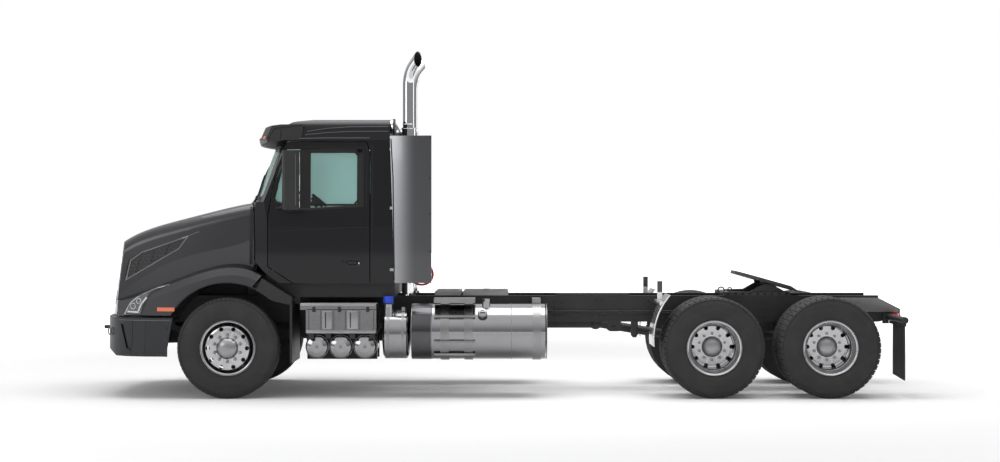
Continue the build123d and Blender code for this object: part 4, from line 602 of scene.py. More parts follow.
class Piece:
    """One mesh under work: a primitive that operators and modifiers shape."""

    def __init__(self, obj: bpy.types.Object) -> None:
        """Wraps an object whose place is in its mesh.

        Args:
            obj: The Blender object.
        """
        self.obj = obj

    @classmethod
    def _take(cls, name: str) -> "Piece":
        """Names the primitive just added, and moves its place into its mesh."""
        obj = bpy.context.active_object
        obj.name = obj.data.name = name
        bpy.ops.object.transform_apply(location=True, rotation=True, scale=True)
        return cls(obj)

    @classmethod
    def block(cls, name: str, low: Point, high: Point) -> "Piece":
        """A block between two corners, to be shaped further."""
        a, b = Vector(low), Vector(high)
        bpy.ops.mesh.primitive_cube_add(size=1.0, location=(a + b) / 2, scale=b - a)
        return cls._take(name)

    @classmethod
    def rod(cls, name: str, start: Point, end: Point, radius: float, sides: int = 24,
            tip: float | None = None) -> "Piece":
        """A round bar between two points.

        Args:
            name: The object's name.
            start: The middle of its first end.
            end: The middle of its second end.
            radius: Its radius at the start.
            sides: Its number of sides.
            tip: Its radius at the end, where that differs.

        Returns:
            The bar.
        """
        a, b = Vector(start), Vector(end)
        run = b - a
        bpy.ops.mesh.primitive_cone_add(
            vertices=sides, radius1=radius, radius2=radius if tip is None else tip, depth=run.length,
            location=(a + b) / 2, rotation=run.to_track_quat("Z", "Y").to_euler())
        return cls._take(name)

    @classmethod
    def hoop(cls, name: str, centre: Point, axis: Point, major: float, minor: float, steps: int = 48,
             sides: int = 10) -> "Piece":
        """A torus about an axis."""
        turn = Vector(axis).to_track_quat("Z", "Y").to_euler()
        bpy.ops.mesh.primitive_torus_add(
            location=centre, rotation=turn, major_segments=steps, minor_segments=sides,
            major_radius=major, minor_radius=minor)
        return cls._take(name)

    @classmethod
    def _points(cls, name: str, points: Sequence[Point], fill: str) -> "Piece":
        """A circle whose vertices are moved to points."""
        bpy.ops.mesh.primitive_circle_add(vertices=len(points), radius=1.0, fill_type=fill)
        piece = cls._take(name)
        for vertex, point in zip(piece.obj.data.vertices, points):
            vertex.co = point
        return piece

    @classmethod
    def grid(cls, name: str, rows: Sequence[Sequence[Point]]) -> "Piece":
        """A surface through rows of points.

        Args:
            name: The object's name.
            rows: The points, in rows of equal length; faces look along the first way crossed with the second.

        Returns:
            The open surface.
        """
        bpy.ops.mesh.primitive_grid_add(x_subdivisions=len(rows[0]) - 1, y_subdivisions=len(rows) - 1, size=1.0)
        piece = cls._take(name)
        for vertex, point in zip(piece.obj.data.vertices, [point for row in rows for point in row]):
            vertex.co = point
        return piece

    def laid(self, face: Face, onto: Sequence[str]) -> "Piece":
        """Drops every vertex straight onto CAD nodes; one that misses lies as deep as its neighbour.

        Args:
            face: The side of the vehicle that it comes from.
            onto: The CAD nodes.

        Returns:
            This piece.
        """
        off = face.value[2]
        landed, missed = [], []
        for vertex in self.obj.data.vertices:
            casts = [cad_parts[node].ray_cast(vertex.co, face.inward) for node in onto]
            hits = [place for found, place, _, _ in casts if found]
            if hits:
                vertex.co = min(hits, key=lambda place: abs(place[off] - vertex.co[off]))
                landed.append(vertex.co.copy())
            else:
                missed.append(vertex)
        for vertex in missed:
            flat = Vector([c for axis, c in enumerate(vertex.co) if axis != off])
            near = min(landed, key=lambda p: (Vector([c for axis, c in enumerate(p) if axis != off]) - flat).length)
            vertex.co[off] = near[off]
        return self

    @classmethod
    def plate(cls, name: str, points: Sequence[Point], run: Point) -> "Piece":
        """A flat outline of points, extruded by a vector.

        Args:
            name: The object's name.
            points: The outline's corners in order.
            run: The way and distance of the extrusion.

        Returns:
            The closed plate.
        """
        piece = cls._points(name, points, "NGON")
        with piece.editing():
            bpy.ops.mesh.extrude_region_move(TRANSFORM_OT_translate={"value": run})
        return piece.outwards()

    @classmethod
    def lathe(cls, name: str, profile: Sequence[Pair], centre: Point = (0.0, 0.0, 0.0),
              axis: Axis = Axis.ACROSS, steps: int = 64, closed: bool = False) -> "Piece":
        """A profile spun about an axis.

        Args:
            name: The object's name.
            profile: Pairs of radius and distance along the axis.
            centre: A point on the axis, where the distance is 0.
            axis: The axis's direction.
            steps: How many steps make the full turn.
            closed: Whether the last point joins the first.

        Returns:
            The turned piece.
        """
        way = Vector(axis.value)
        out = Vector((0.0, 0.0, 1.0)) if axis is not Axis.UP else Vector((1.0, 0.0, 0.0))
        points = [Vector(centre) + out * radius + way * along for radius, along in profile]
        piece = cls._points(name, points, "NOTHING")
        if not closed:
            last = len(points) - 1
            with piece.editing("EDGE", lambda edge: set(edge.vertices) == {0, last}):
                bpy.ops.mesh.delete(type="EDGE")
        with piece.editing():
            bpy.ops.mesh.spin(steps=steps, angle=2 * math.pi, center=centre, axis=axis.value)
        return piece.merged().outwards()

    @contextmanager
    def editing(self, mode: str = "VERT", pick: Callable[[object], bool] | None = None) -> Iterator[None]:
        """Edit mode, with what pick chooses selected, or all of it.

        Args:
            mode: VERT, EDGE or FACE.
            pick: Says whether a vertex, edge or face is selected.

        Yields:
            Nothing; operators run inside.
        """
        self.activate()
        mesh = self.obj.data
        bpy.ops.object.mode_set(mode="EDIT")
        bpy.ops.mesh.select_mode(type=mode)
        bpy.ops.mesh.select_all(action="DESELECT" if pick else "SELECT")
        if pick:
            bpy.ops.object.mode_set(mode="OBJECT")
            items = {"VERT": mesh.vertices, "EDGE": mesh.edges, "FACE": mesh.polygons}[mode]
            for item in items:
                item.select = pick(item)
            bpy.ops.object.mode_set(mode="EDIT")
        yield
        bpy.ops.object.mode_set(mode="OBJECT")

    def activate(self) -> "Piece":
        """Selects this piece alone."""
        deselect()
        self.obj.select_set(True)
        bpy.context.view_layer.objects.active = self.obj
        return self

    def outwards(self) -> "Piece":
        """Turns all faces outwards."""
        with self.editing():
            bpy.ops.mesh.normals_make_consistent(inside=False)
        return self

    def merged(self, gap: float = 0.00005) -> "Piece":
        """Merges vertices that coincide."""
        with self.editing():
            bpy.ops.mesh.remove_doubles(threshold=gap)
        return self

    def rowed(self, count: int, pitch: float) -> "Piece":
        """Repeats the mesh in a row along the vehicle."""
        return self.modify("ARRAY", count=count, use_relative_offset=False, use_constant_offset=True,
                           constant_offset_displace=(pitch, 0.0, 0.0))

    def modify(self, kind: str, **settings: object) -> "Piece":
        """Adds a modifier and applies it.

        Args:
            kind: The modifier's type.
            **settings: Its settings.

        Returns:
            This piece.
        """
        self.activate()
        modifier = self.obj.modifiers.new(kind.title(), kind)
        for key, value in settings.items():
            setattr(modifier, key, value)
        bpy.ops.object.modifier_apply(modifier=modifier.name)
        return self

    def bevel(self, width: float, segments: int = 2) -> "Piece":
        """Rounds the sharp edges."""
        return self.modify("BEVEL", width=width, segments=segments, limit_method="ANGLE",
                           angle_limit=SMOOTH_ANGLE)

    def cut(self, tool: "Piece") -> "Piece":
        """Takes another piece's volume away, and the other piece with it."""
        self.modify("BOOLEAN", operation="DIFFERENCE", solver="EXACT", object=tool.obj)
        bpy.data.objects.remove(tool.obj)
        return self

    def ringed(self, count: int, axis: Axis = Axis.ACROSS) -> "Piece":
        """Repeats the mesh round an axis through the origin.

        Args:
            count: How many copies make the full turn.
            axis: The axis's direction.

        Returns:
            This piece, with all copies in its mesh.
        """
        guide = bpy.data.objects.new("turn", None)
        bpy.context.scene.collection.objects.link(guide)
        guide.matrix_world = Matrix.Rotation(2 * math.pi / count, 4, axis.value)
        bpy.context.view_layer.update()
        self.modify("ARRAY", count=count, use_relative_offset=False, use_object_offset=True, offset_object=guide)
        bpy.data.objects.remove(guide)
        return self

    def moved(self, matrix: Matrix) -> "Piece":
        """Moves the mesh, and keeps its faces outwards under a mirror."""
        self.obj.data.transform(matrix)
        if matrix.determinant() < 0:
            self.obj.data.flip_normals()
        return self

    def copied(self, name: str, matrix: Matrix) -> "Piece":
        """A copy with its own mesh, moved by a matrix."""
        obj = self.obj.copy()
        obj.data = self.obj.data.copy()
        obj.name = obj.data.name = name
        bpy.context.scene.collection.objects.link(obj)
        return Piece(obj).moved(matrix)

    def coat(self, finish: Finish) -> "Piece":
        """Gives the whole piece one finish."""
        self.obj.data.materials.clear()
        self.obj.data.materials.append(finish.material())
        return self

    def settle(self, body: str, slot: str, *nodes: str) -> "Piece":
        """Rides the finished piece on a body.

        Args:
            body: The CAD body.
            slot: The record's material slot; not used.
            *nodes: CAD nodes that it stands for.

        Returns:
            This piece.
        """
        self.activate()
        bpy.ops.object.shade_smooth_by_angle(angle=SMOOTH_ANGLE)
        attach(self.obj, body)
        if nodes:
            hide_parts(*nodes)
        LOG.info("piece %s on %s, %d faces", self.obj.name, body, len(self.obj.data.polygons))
        return self


def join(name: str, pieces: Sequence[Piece]) -> Piece:
    """Joins pieces into one mesh, each keeping its finish.

    Args:
        name: The joined object's name.
        pieces: The pieces, at least one.

    Returns:
        The joined piece.
    """
    deselect()
    for piece in pieces:
        piece.obj.select_set(True)
    bpy.context.view_layer.objects.active = pieces[0].obj
    if len(pieces) > 1:
        bpy.ops.object.join()
    pieces[0].obj.name = pieces[0].obj.data.name = name
    return pieces[0]


@dataclass(frozen=True)
class Strip:
    """A strip of trim along a line, laid on CAD nodes."""

    onto: tuple[str, ...]
    # its middle line, in the side's two coordinates
    path: Line
    width: float
    # how far it stands off what it lies on
    proud: float = 0.003
    face: Face = Face.LEFT
    closed: bool = False
    # the longest run between two of its cross lines
    step: float = 0.03

    def moved(self, shift: Pair) -> "Strip":
        """The same strip at another place."""
        return replace(self, path=tuple((first + shift[0], second + shift[1]) for first, second in self.path))

    def _line(self) -> list[Vector]:
        """The middle line, cut into steps.

        Returns:
            Its points, in the side's two coordinates.
        """
        points = [Vector(place) for place in (*self.path, *(self.path[:1] if self.closed else ()))]
        line = [points[0]]
        for start, end in zip(points, points[1:]):
            count = max(1, math.ceil((end - start).length / self.step))
            line += [start.lerp(end, (index + 1) / count) for index in range(count)]
        return line

    def build(self) -> Piece:
        """Lays the strip and gives it its thickness.

        Returns:
            The closed strip.
        """
        line = self._line()
        runs = [(b - a).normalized() for a, b in zip(line, line[1:])]
        low, high = [], []
        for index, place in enumerate(line):
            before = runs[index - 1] if index or self.closed else runs[0]
            after = runs[index] if index < len(runs) else runs[0] if self.closed else runs[-1]
            across = Vector((-before.y - after.y, before.x + after.x)).normalized()
            reach = self.width / 2 / max(0.5, across.dot(Vector((-after.y, after.x))))
            low.append(self.face.point(*(place - across * reach)))
            high.append(self.face.point(*(place + across * reach)))
        piece = Piece.grid("strip", [high, low] if self.face.flips else [low, high]).laid(self.face, self.onto)
        if self.closed:
            piece.merged(0.0005)
        return piece.modify("SOLIDIFY", thickness=self.proud, offset=1.0)


@dataclass(frozen=True)
class Block:
    """A block between two corners, with rounded edges."""

    low: Point
    high: Point
    edge: float
    segments: int = 2

    def build(self) -> Piece:
        """Adds the block and rounds it."""
        return Piece.block("block", self.low, self.high).bevel(self.edge, self.segments)

    def moved(self, shift: Point) -> "Block":
        """The same block at another place."""
        low, high = (tuple(c + d for c, d in zip(corner, shift)) for corner in (self.low, self.high))
        return replace(self, low=low, high=high)


def arc_path(centre: Pair, radius: float, degrees: Sequence[int]) -> Line:
    """Points of an arc in a side's two coordinates, one at each angle."""
    angles = [math.radians(angle) for angle in degrees]
    return tuple((centre[0] + radius * math.cos(angle), centre[1] + radius * math.sin(angle)) for angle in angles)


def bolt_heads(places: Sequence[Point], way: Point, radius: float = 0.012) -> Piece:
    """Six-sided heads on washers, one at each place.

    Args:
        places: Where their washers lie.
        way: The way that they stand up.
        radius: Half a head's width.

    Returns:
        All heads as one piece.
    """
    up = Vector(way)
    washer = Piece.rod("bolt", (0.0, 0.0, 0.0), tuple(up * radius * 0.25), radius * 1.35, 14, radius * 1.3)
    head = Piece.rod("bolt", tuple(up * radius * 0.2), tuple(up * radius), radius, 6, radius * 0.94)
    first = join("bolt", [washer, head])
    copies = [first.copied("bolt", Matrix.Translation(place)) for place in places]
    bpy.data.objects.remove(first.obj)
    return join("bolts", copies)


def both_sides(name: str, pieces: Sequence[Piece]) -> Piece:
    """Joins pieces with their mirror images on the vehicle's other side."""
    return join(name, [*pieces, *(piece.copied(name, ACROSS_MIRROR) for piece in pieces)])


def group(name: str, slot: str, finish: Finish, shapes: Sequence[Piece | Strip | Block], body: str = "chassis",
          twin: bool = False, turn: Matrix = NO_TURN) -> Piece:
    """Joins shapes in one finish and rides them on a body.

    Args:
        name: The joined piece's name.
        slot: The record's material slot.
        finish: The finish of them all.
        shapes: The shapes, at least one; strips and blocks are built first.
        body: The CAD body that carries them.
        twin: Whether their mirror images on the other side are joined too.
        turn: Where they are moved first.

    Returns:
        The finished piece.
    """
    pieces = [shape if isinstance(shape, Piece) else shape.build() for shape in shapes]
    ready = [piece.coat(finish).moved(turn) for piece in pieces]
    return (both_sides if twin else join)(name, ready).settle(body, slot)


# CAD nodes that trim is laid on
ON_LAMPS = ("headlamps", "hood_shell")
ON_HOOD = ("hood_shell", "hood_grilles")
ON_CAB = ("cab_body", "cab_roof")
ON_SCREEN = ("cab_glass", "cab_body")
ON_VISOR = ("sun_visor",)
ON_BOX = ("battery_box",)


# Studio


@dataclass
class Studio:
    """The camera, the floor, the lamps and the pale surroundings."""

    camera_place: Point = (-0.024, -19.74, 1.803)
    lens: float = 62.1
    sensor: float = 36.0
    sight: float = 300.0
    floor_radius: float = 120.0
    floor_colour: Colour = (0.86, 0.86, 0.86)
    near_lift: float = 0.05
    far_lift: float = 1.0
    lift_from: float = 5.0
    lift_to: float = 17.0
    ambient: float = 0.50
    horizon: float = 0.30
    zenith: float = 1.10
    # place, aim, size and power of a broad soft box overhead and two weak ones at the sides
    lamps: tuple[tuple[Point, Point, Pair, float], ...] = (
        ((0.0, 0.0, 9.0), (0.0, 0.0, 1.0), (14.0, 6.0), 900.0),
        ((-10.0, -9.0, 5.0), (-1.5, 0.0, 1.2), (5.0, 4.0), 200.0),
        ((10.0, 10.0, 5.0), (1.5, 0.0, 1.2), (5.0, 4.0), 160.0))

    def build(self) -> None:
        """Sets the camera, floor, lamps and world."""
        self._camera()
        self._floor()
        self._lamps()
        self._world()
        bpy.context.scene.view_settings.view_transform = "Standard"
        LOG.info("studio")

    def _camera(self) -> None:
        """A level camera square to the vehicle's left side."""
        bpy.ops.object.camera_add(location=self.camera_place, rotation=(math.pi / 2, 0.0, 0.0))
        camera = bpy.context.active_object
        camera.data.lens = self.lens
        camera.data.sensor_width = self.sensor
        camera.data.clip_end = self.sight
        bpy.context.scene.camera = camera

    def _floor(self) -> None:
        """A pale floor that shows as white except in the vehicle's shadow."""
        bpy.ops.mesh.primitive_circle_add(vertices=96, radius=self.floor_radius, fill_type="NGON")
        floor = bpy.context.active_object
        floor.name = "studio_floor"
        material = bpy.data.materials.new("studio floor")
        material.use_nodes = True
        graph = Graph(material.node_tree)
        seen = self._seen(graph)
        point = graph.node("ShaderNodeTexCoord", output="Object")
        away = graph.node("ShaderNodeVectorMath", {"operation": "LENGTH"}, {0: point}, "Value")
        lift = graph.mix(away.ramp(self.lift_from, self.lift_to), (self.near_lift,) * 3, (self.far_lift,) * 3)
        shader = graph.node("ShaderNodeBsdfPrincipled", {}, {
            "Base Color": self.floor_colour, "Roughness": 0.9, "Specular IOR Level": 0.1,
            "Emission Color": graph.mix(seen, (0.0, 0.0, 0.0), lift), "Emission Strength": 1.0})
        graph.close(shader, "ShaderNodeOutputMaterial")
        floor.data.materials.append(material)

    @staticmethod
    def _seen(graph: Graph) -> Signal:
        """One for rays from the camera, a mirror or through glass."""
        kinds = ("Is Camera Ray", "Is Glossy Ray", "Is Transmission Ray")
        camera, glossy, through = (graph.node("ShaderNodeLightPath", output=kind) for kind in kinds)
        return camera.most(glossy).most(through)

    def _lamps(self) -> None:
        """Area lamps, each turned to its aim."""
        for place, aim, size, power in self.lamps:
            way = Vector(aim) - Vector(place)
            bpy.ops.object.light_add(type="AREA", location=place, rotation=way.to_track_quat("-Z", "Y").to_euler())
            lamp = bpy.context.active_object.data
            lamp.shape = "RECTANGLE"
            lamp.size, lamp.size_y = size
            lamp.energy = power

    def _world(self) -> None:
        """White where it is seen, and an even light elsewhere."""
        world = bpy.data.worlds.new("studio air")
        bpy.context.scene.world = world
        world.use_nodes = True
        graph = Graph(world.node_tree)
        seen = self._seen(graph)
        glossy = graph.node("ShaderNodeLightPath", output="Is Glossy Ray")
        way = graph.node("ShaderNodeTexCoord", output="Generated")
        height = graph.node("ShaderNodeSeparateXYZ", {}, {0: way}, "Z").ramp(-0.02, 0.75)
        dome = graph.mix(height, (self.horizon,) * 3, (self.zenith,) * 3)
        backdrop = graph.mix(glossy, (1.0, 1.0, 1.0), dome)
        air = graph.mix(seen, (self.ambient,) * 3, backdrop)
        background = graph.node("ShaderNodeBackground", {}, {"Color": air, "Strength": 1.0})
        graph.close(background, "ShaderNodeOutputWorld")


# Air line behind the cab


@dataclass
class AirLine:
    """The red air line, from its fitting on the cab's back to its parked coupling."""

    diameter: float = 0.024
    length: float = 0.789
    route: tuple[Point, ...] = (
        (-1.085, -0.700, 1.500), (-1.005, -0.700, 1.500), (-0.915, -0.710, 1.490), (-0.826, -0.728, 1.448),
        (-0.768, -0.742, 1.376), (-0.762, -0.748, 1.292), (-0.816, -0.740, 1.222), (-0.905, -0.718, 1.206),
        (-0.985, -0.690, 1.238), (-1.036, -0.668, 1.300))

    def build(self) -> None:
        """Draws the line as one spline through the route's control points."""
        curve = bpy.data.curves.new("air_line", "CURVE")
        curve.dimensions = "3D"
        curve.bevel_depth = self.diameter / 2
        curve.bevel_resolution = 5
        curve.resolution_u = 16
        spline = curve.splines.new("NURBS")
        spline.points.add(len(self.route) - 1)
        for control, place in zip(spline.points, self.route):
            control.co = (*place, 1.0)
        spline.order_u = 3
        spline.use_endpoint_u = True
        line = bpy.data.objects.new("air_line", curve)
        bpy.context.scene.collection.objects.link(line)
        curve.materials.append(HOSE_RED.material())
        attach(line, "chassis")
        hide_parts("air_hose")
        LOG.info("air line")


# CAD nodes that keep their shape


@dataclass
class CadFinishes:
    """Which finish each CAD node wears."""

    finishes: tuple[tuple[Finish, tuple[str, ...]], ...] = (
        (CHASSIS_BLACK, ("frame_rails", "cab_mounts", "mud_flap_hangers")),
        (CAST_BLACK, ("front_axle", "front_springs", "left_knuckle", "right_knuckle", "rear_axles",
                      "rear_suspension", "engine", "driveline", "radiator")),
        (BUMPER_PAINT, ("front_bumper",)),
        (DARK_PLASTIC, ("sun_visor", "dashboard", "fender_extensions", "left_mirror", "right_mirror")),
        (FAIRING_PAINT, ("side_fairings",)),
        (CHROME, ("exhaust_stacks",)),
        (BOX_METAL, ("battery_box", "aftertreatment")),
        (POLISHED, ("air_tanks", "urea_tank", "fuel_tanks")),
        (BLUE_PLASTIC, ("urea_cap",)),
        (BRUSHED, ("tank_straps",)),
        (TREAD_METAL, ("deck_plate",)),
        (BRIGHT_SHEET, ("quarter_fenders",)),
        (FLAP_RUBBER, ("mud_flaps",)),
        (RED_LENS, ("tail_lamps",)),
        (GREASED, ("fifth_wheel_base", "fifth_wheel_plate")),
        (BRASS, ("hose_fittings",)),
        (LIT_HOOD_PAINT, ("hood_shell",)),
        (GRILLE_BLACK, ("hood_grilles",)),
        (SMOKED_LENS, ("headlamps",)),
        (AMBER, ("side_markers",)),
        (BODY_PAINT, ("cab_body", "cab_roof", "left_door", "right_door")),
        (TINTED, ("cab_glass", "left_door_glass", "right_door_glass")),
        (SEAT_CLOTH, ("seats",)))

    def build(self) -> None:
        """Assigns every listed node its finish."""
        pairs = [(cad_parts[node], finish.material()) for finish, nodes in self.finishes for node in nodes]
        for obj, material in pairs:
            for place in obj.material_slots:
                place.material = material
            if not obj.material_slots:
                obj.data.materials.append(material)
        LOG.info("finishes on %d CAD nodes", len(pairs))


# Wheels and tyres


@dataclass
class Tyre:
    """A truck tyre about Y, its middle at the origin."""

    radius: float = 0.545
    groove: float = 0.014
    lugs: int = 54
    lug_gap: float = 0.010
    driven: bool = True
    # where the inner ribs lie across the tread
    ribs: Line = ((-0.070, -0.031), (-0.021, 0.021), (0.031, 0.070))
    # radius and half width, from the bead to the crown
    sidewall: Line = (
        (0.2845, 0.098), (0.2845, 0.1035), (0.2990, 0.1055), (0.3080, 0.1180), (0.3160, 0.1205), (0.3200, 0.1195),
        (0.3320, 0.1275), (0.3550, 0.1370), (0.3850, 0.1425), (0.4140, 0.1450), (0.4180, 0.1438), (0.4450, 0.1432),
        (0.4700, 0.1405), (0.4900, 0.1372), (0.4930, 0.1352), (0.5080, 0.1310), (0.5170, 0.1250), (0.5260, 0.1180))
    crown_half: float = 0.105
    # radius and half width of a shoulder lug
    shoulder: Line = (
        (0.512, 0.130), (0.5155, 0.1342), (0.5290, 0.1275), (0.5385, 0.1180), (0.5445, 0.1050), (0.5450, 0.0790),
        (0.5290, 0.0790), (0.5240, 0.1100))

    def build(self, name: str) -> Piece:
        """Spins the carcass and sets the tread's lugs round it.

        Args:
            name: The piece's name.

        Returns:
            The tyre at the origin.
        """
        floor = self.radius - self.groove
        half = [*self.sidewall, (floor, self.crown_half), (floor, 0.0)]
        parts = [Piece.lathe(name, half + [(r, -y) for r, y in reversed(half[:-1])], steps=96, closed=True)]
        length = 2 * math.pi * self.radius / self.lugs - self.lug_gap
        half_pitch = math.pi / self.lugs
        parts += [self._rib(inner, outer, length, index % 2 * half_pitch)
                  for index, (inner, outer) in enumerate(self.ribs)]
        lug = Piece.plate("lug", [(-length / 2, y, r) for r, y in self.shoulder], (length, 0.0, 0.0))
        lug.bevel(0.0018, 1).ringed(self.lugs)
        parts += [lug, lug.copied("lug", ACROSS_MIRROR @ Matrix.Rotation(half_pitch, 4, "Y"))]
        return join(name, parts).coat(TYRE_RUBBER)

    def _rib(self, inner: float, outer: float, length: float, shift: float) -> Piece:
        """One rib, in blocks on a driven tyre and whole on a steered one.

        Args:
            inner: Where it starts across the tread.
            outer: Where it ends.
            length: A block's length round the tyre.
            shift: The angle that the blocks are turned by.

        Returns:
            The rib about the origin.
        """
        if not self.driven:
            root = self.radius - self.groove - 0.002
            ring = [(root, inner), (self.radius, inner), (self.radius, outer), (root, outer)]
            return Piece.lathe("rib", ring, steps=96, closed=True)
        block = Piece.block("rib", (-length / 2, inner, self.radius - self.groove - 0.003),
                            (length / 2, outer, self.radius - 0.0006))
        block.bevel(0.0015, 1).ringed(self.lugs)
        return block.moved(Matrix.Rotation(shift, 4, "Y"))


@dataclass
class DiscWheel:
    """A forged disc wheel about Y with its hub, its middle at the origin and its outer face at +Y."""

    holes: int = 10
    hole_circle: float = 0.211
    hole_radius: float = 0.023
    nut_circle: float = 0.143
    wall: float = 0.014
    steps: int = 96
    # radius and width of the lip, from the drop well outwards
    lip: Line = (
        (0.2500, 0.0300), (0.2560, 0.0420), (0.2640, 0.0700), (0.2690, 0.0920), (0.2760, 0.1030), (0.2860, 0.1075),
        (0.2915, 0.1120), (0.2945, 0.1175), (0.2975, 0.1170), (0.2980, 0.1120), (0.2965, 0.1050), (0.2835, 0.1045),
        (0.2760, 0.0860), (0.2650, 0.0450), (0.2540, 0.0330), (0.2540, 0.0))
    well: Line = ((0.2440, -0.0250), (0.2440, 0.0250))
    # radius of the disc and how near it is to its face, 1 on the face and 0 at the rim
    bowl: Line = ((0.0, 1.0), (0.190, 1.0), (0.228, 0.975), (0.2345, 0.94), (0.2385, 0.84), (0.2415, 0.55),
                  (0.2435, 0.25), (0.2445, 0.04))
    # start and end over the face, radius at both, sides and rounding of a flange, its nut and its stud
    fastener: tuple[Places, ...] = (
        (-0.002, 0.005, 0.021, 0.019, 20, 0.0), (0.004, 0.025, 0.0175, 0.0175, 6, 0.002),
        (0.024, 0.037, 0.0105, 0.0095, 12, 0.0))
    # radius and distance from the face
    hub_cap: Line = (
        (0.118, 0.0), (0.118, 0.008), (0.1135, 0.014), (0.1085, 0.022), (0.1000, 0.034), (0.0880, 0.0445),
        (0.0720, 0.0535), (0.0520, 0.0605), (0.0270, 0.0648), (0.0, 0.066))
    drum_profile: Line = (
        (0.060, 0.0), (0.178, 0.0), (0.205, -0.018), (0.208, -0.030), (0.208, -0.20), (0.192, -0.20),
        (0.192, -0.030), (0.060, -0.018))

    def rim(self) -> Piece:
        """The rim alone, the same to both sides."""
        inside = tuple((r, -y) for r, y in reversed(self.lip[:-1]))
        rim = Piece.lathe("rim", self.lip + inside + self.well, steps=self.steps, closed=True)
        return rim.coat(FORGED)

    def disc(self, face: float, root: float) -> Piece:
        """The disc from the hub to the drop well, with its hand holes.

        Args:
            face: Where the disc's flat face is along the axle.
            root: Where it meets the rim.

        Returns:
            The disc.
        """
        back_wall = -self.wall if face > root else self.wall
        front = [(r, root + (face - root) * share) for r, share in self.bowl]
        back = [(r - (0.010 if r > 0.22 else 0.0), y + back_wall) for r, y in reversed(front)]
        disc = Piece.lathe("disc", front + back, steps=self.steps)
        deep = 0.16
        cutter = Piece.rod("hole", (self.hole_circle, root - deep, 0.0), (self.hole_circle, root + deep, 0.0),
                           self.hole_radius, 20).ringed(self.holes)
        return disc.cut(cutter).coat(FORGED)

    def nuts(self, face: float) -> Piece:
        """Flange nuts on their studs, on the face."""
        turn = math.pi / self.holes
        x, z = self.nut_circle * math.cos(turn), self.nut_circle * math.sin(turn)
        parts = []
        for start, end, root, tip, sides, edge in self.fastener:
            part = Piece.rod("nut", (x, face + start, z), (x, face + end, z), root, sides, tip)
            parts.append(part.bevel(edge) if edge else part)
        return join("nut", parts).ringed(self.holes).coat(BRUSHED)

    def cap(self, face: float) -> Piece:
        """The domed hub cap with its flange."""
        return Piece.lathe("cap", [(r, face + y) for r, y in self.hub_cap], steps=48).coat(CAP_METAL)

    def drum(self, face: float) -> Piece:
        """The brake drum and hub behind the disc."""
        profile = [(r, face + y) for r, y in self.drum_profile]
        return Piece.lathe("drum", profile, steps=48, closed=True).coat(CAST_BLACK)


@dataclass
class RollingGear:
    """All wheels with their tyres."""

    front_x: float = -2.950
    rear_xs: Pair = (2.281, 3.530)
    track: float = 1.095
    height: float = 0.545
    twin: float = 0.330
    disc_set: float = 0.140
    # where an outset and an inset disc meet their rims
    outset_root: float = 0.029
    inset_root: float = -0.015
    drum_gap: float = 0.05
    wheel: DiscWheel = field(default_factory=DiscWheel)

    def build(self) -> None:
        """Makes one front wheel and one twin pair, and copies them to every axle end."""
        steer = Tyre(driven=False, lugs=72, lug_gap=0.005).build("steer_tyre")
        drive = Tyre().build("drive_tyre")
        twin = join("twin_tyres", [drive, drive.copied("inner", Matrix.Translation((0.0, -self.twin, 0.0)))])
        single, pair = self._front_wheel(), self._twin_wheels()
        for side in Side:
            self._place(steer, single, "front", self.front_x, side)
            for number, x in enumerate(self.rear_xs, start=1):
                self._place(twin, pair, f"rear_{number}", x, side)
        for piece in (steer, twin, single, pair):
            bpy.data.objects.remove(piece.obj)

    def _front_wheel(self) -> Piece:
        """The steered wheel, its disc set out."""
        wheel, face = self.wheel, self.disc_set
        return join("front_wheel", [wheel.rim(), wheel.disc(face, self.outset_root), wheel.nuts(face),
                                    wheel.cap(face), wheel.drum(face - wheel.wall)])

    def _twin_wheels(self) -> Piece:
        """Two rims bolted disc to disc on one hub."""
        wheel, joint = self.wheel, -self.disc_set
        inner = Matrix.Translation((0.0, -self.twin, 0.0))
        face = joint + wheel.wall
        return join("twin_wheels", [
            wheel.rim(), wheel.disc(face, self.inset_root), wheel.rim().moved(inner),
            wheel.disc(self.disc_set, self.outset_root).moved(inner), wheel.nuts(face), wheel.cap(face),
            wheel.drum(joint - self.drum_gap)])

    def _place(self, tyre: Piece, wheel: Piece, where: str, x: float, side: Side) -> None:
        """Copies a tyre and a wheel to one axle end.

        Args:
            tyre: The tyre or twin tyres about the origin.
            wheel: The wheel or twin wheels about the origin.
            where: front, rear_1 or rear_2.
            x: The axle's place.
            side: The vehicle's side.
        """
        place = Matrix.Translation((x, side.value * self.track, self.height))
        if side is Side.LEFT:
            place = place @ ACROSS_MIRROR
        end = f"{where}_{side.word}"
        plural = "" if where == "front" else "s"
        body = f"{end}_wheel{plural}"
        tyre.copied(f"{end}_tyre", place).settle(body, "tyre_rubber", f"tyre{plural}_{end}")
        wheel.copied(f"{end}_wheel", place).settle(body, "wheel_aluminium", f"wheel{plural}_{end}")


# Hood


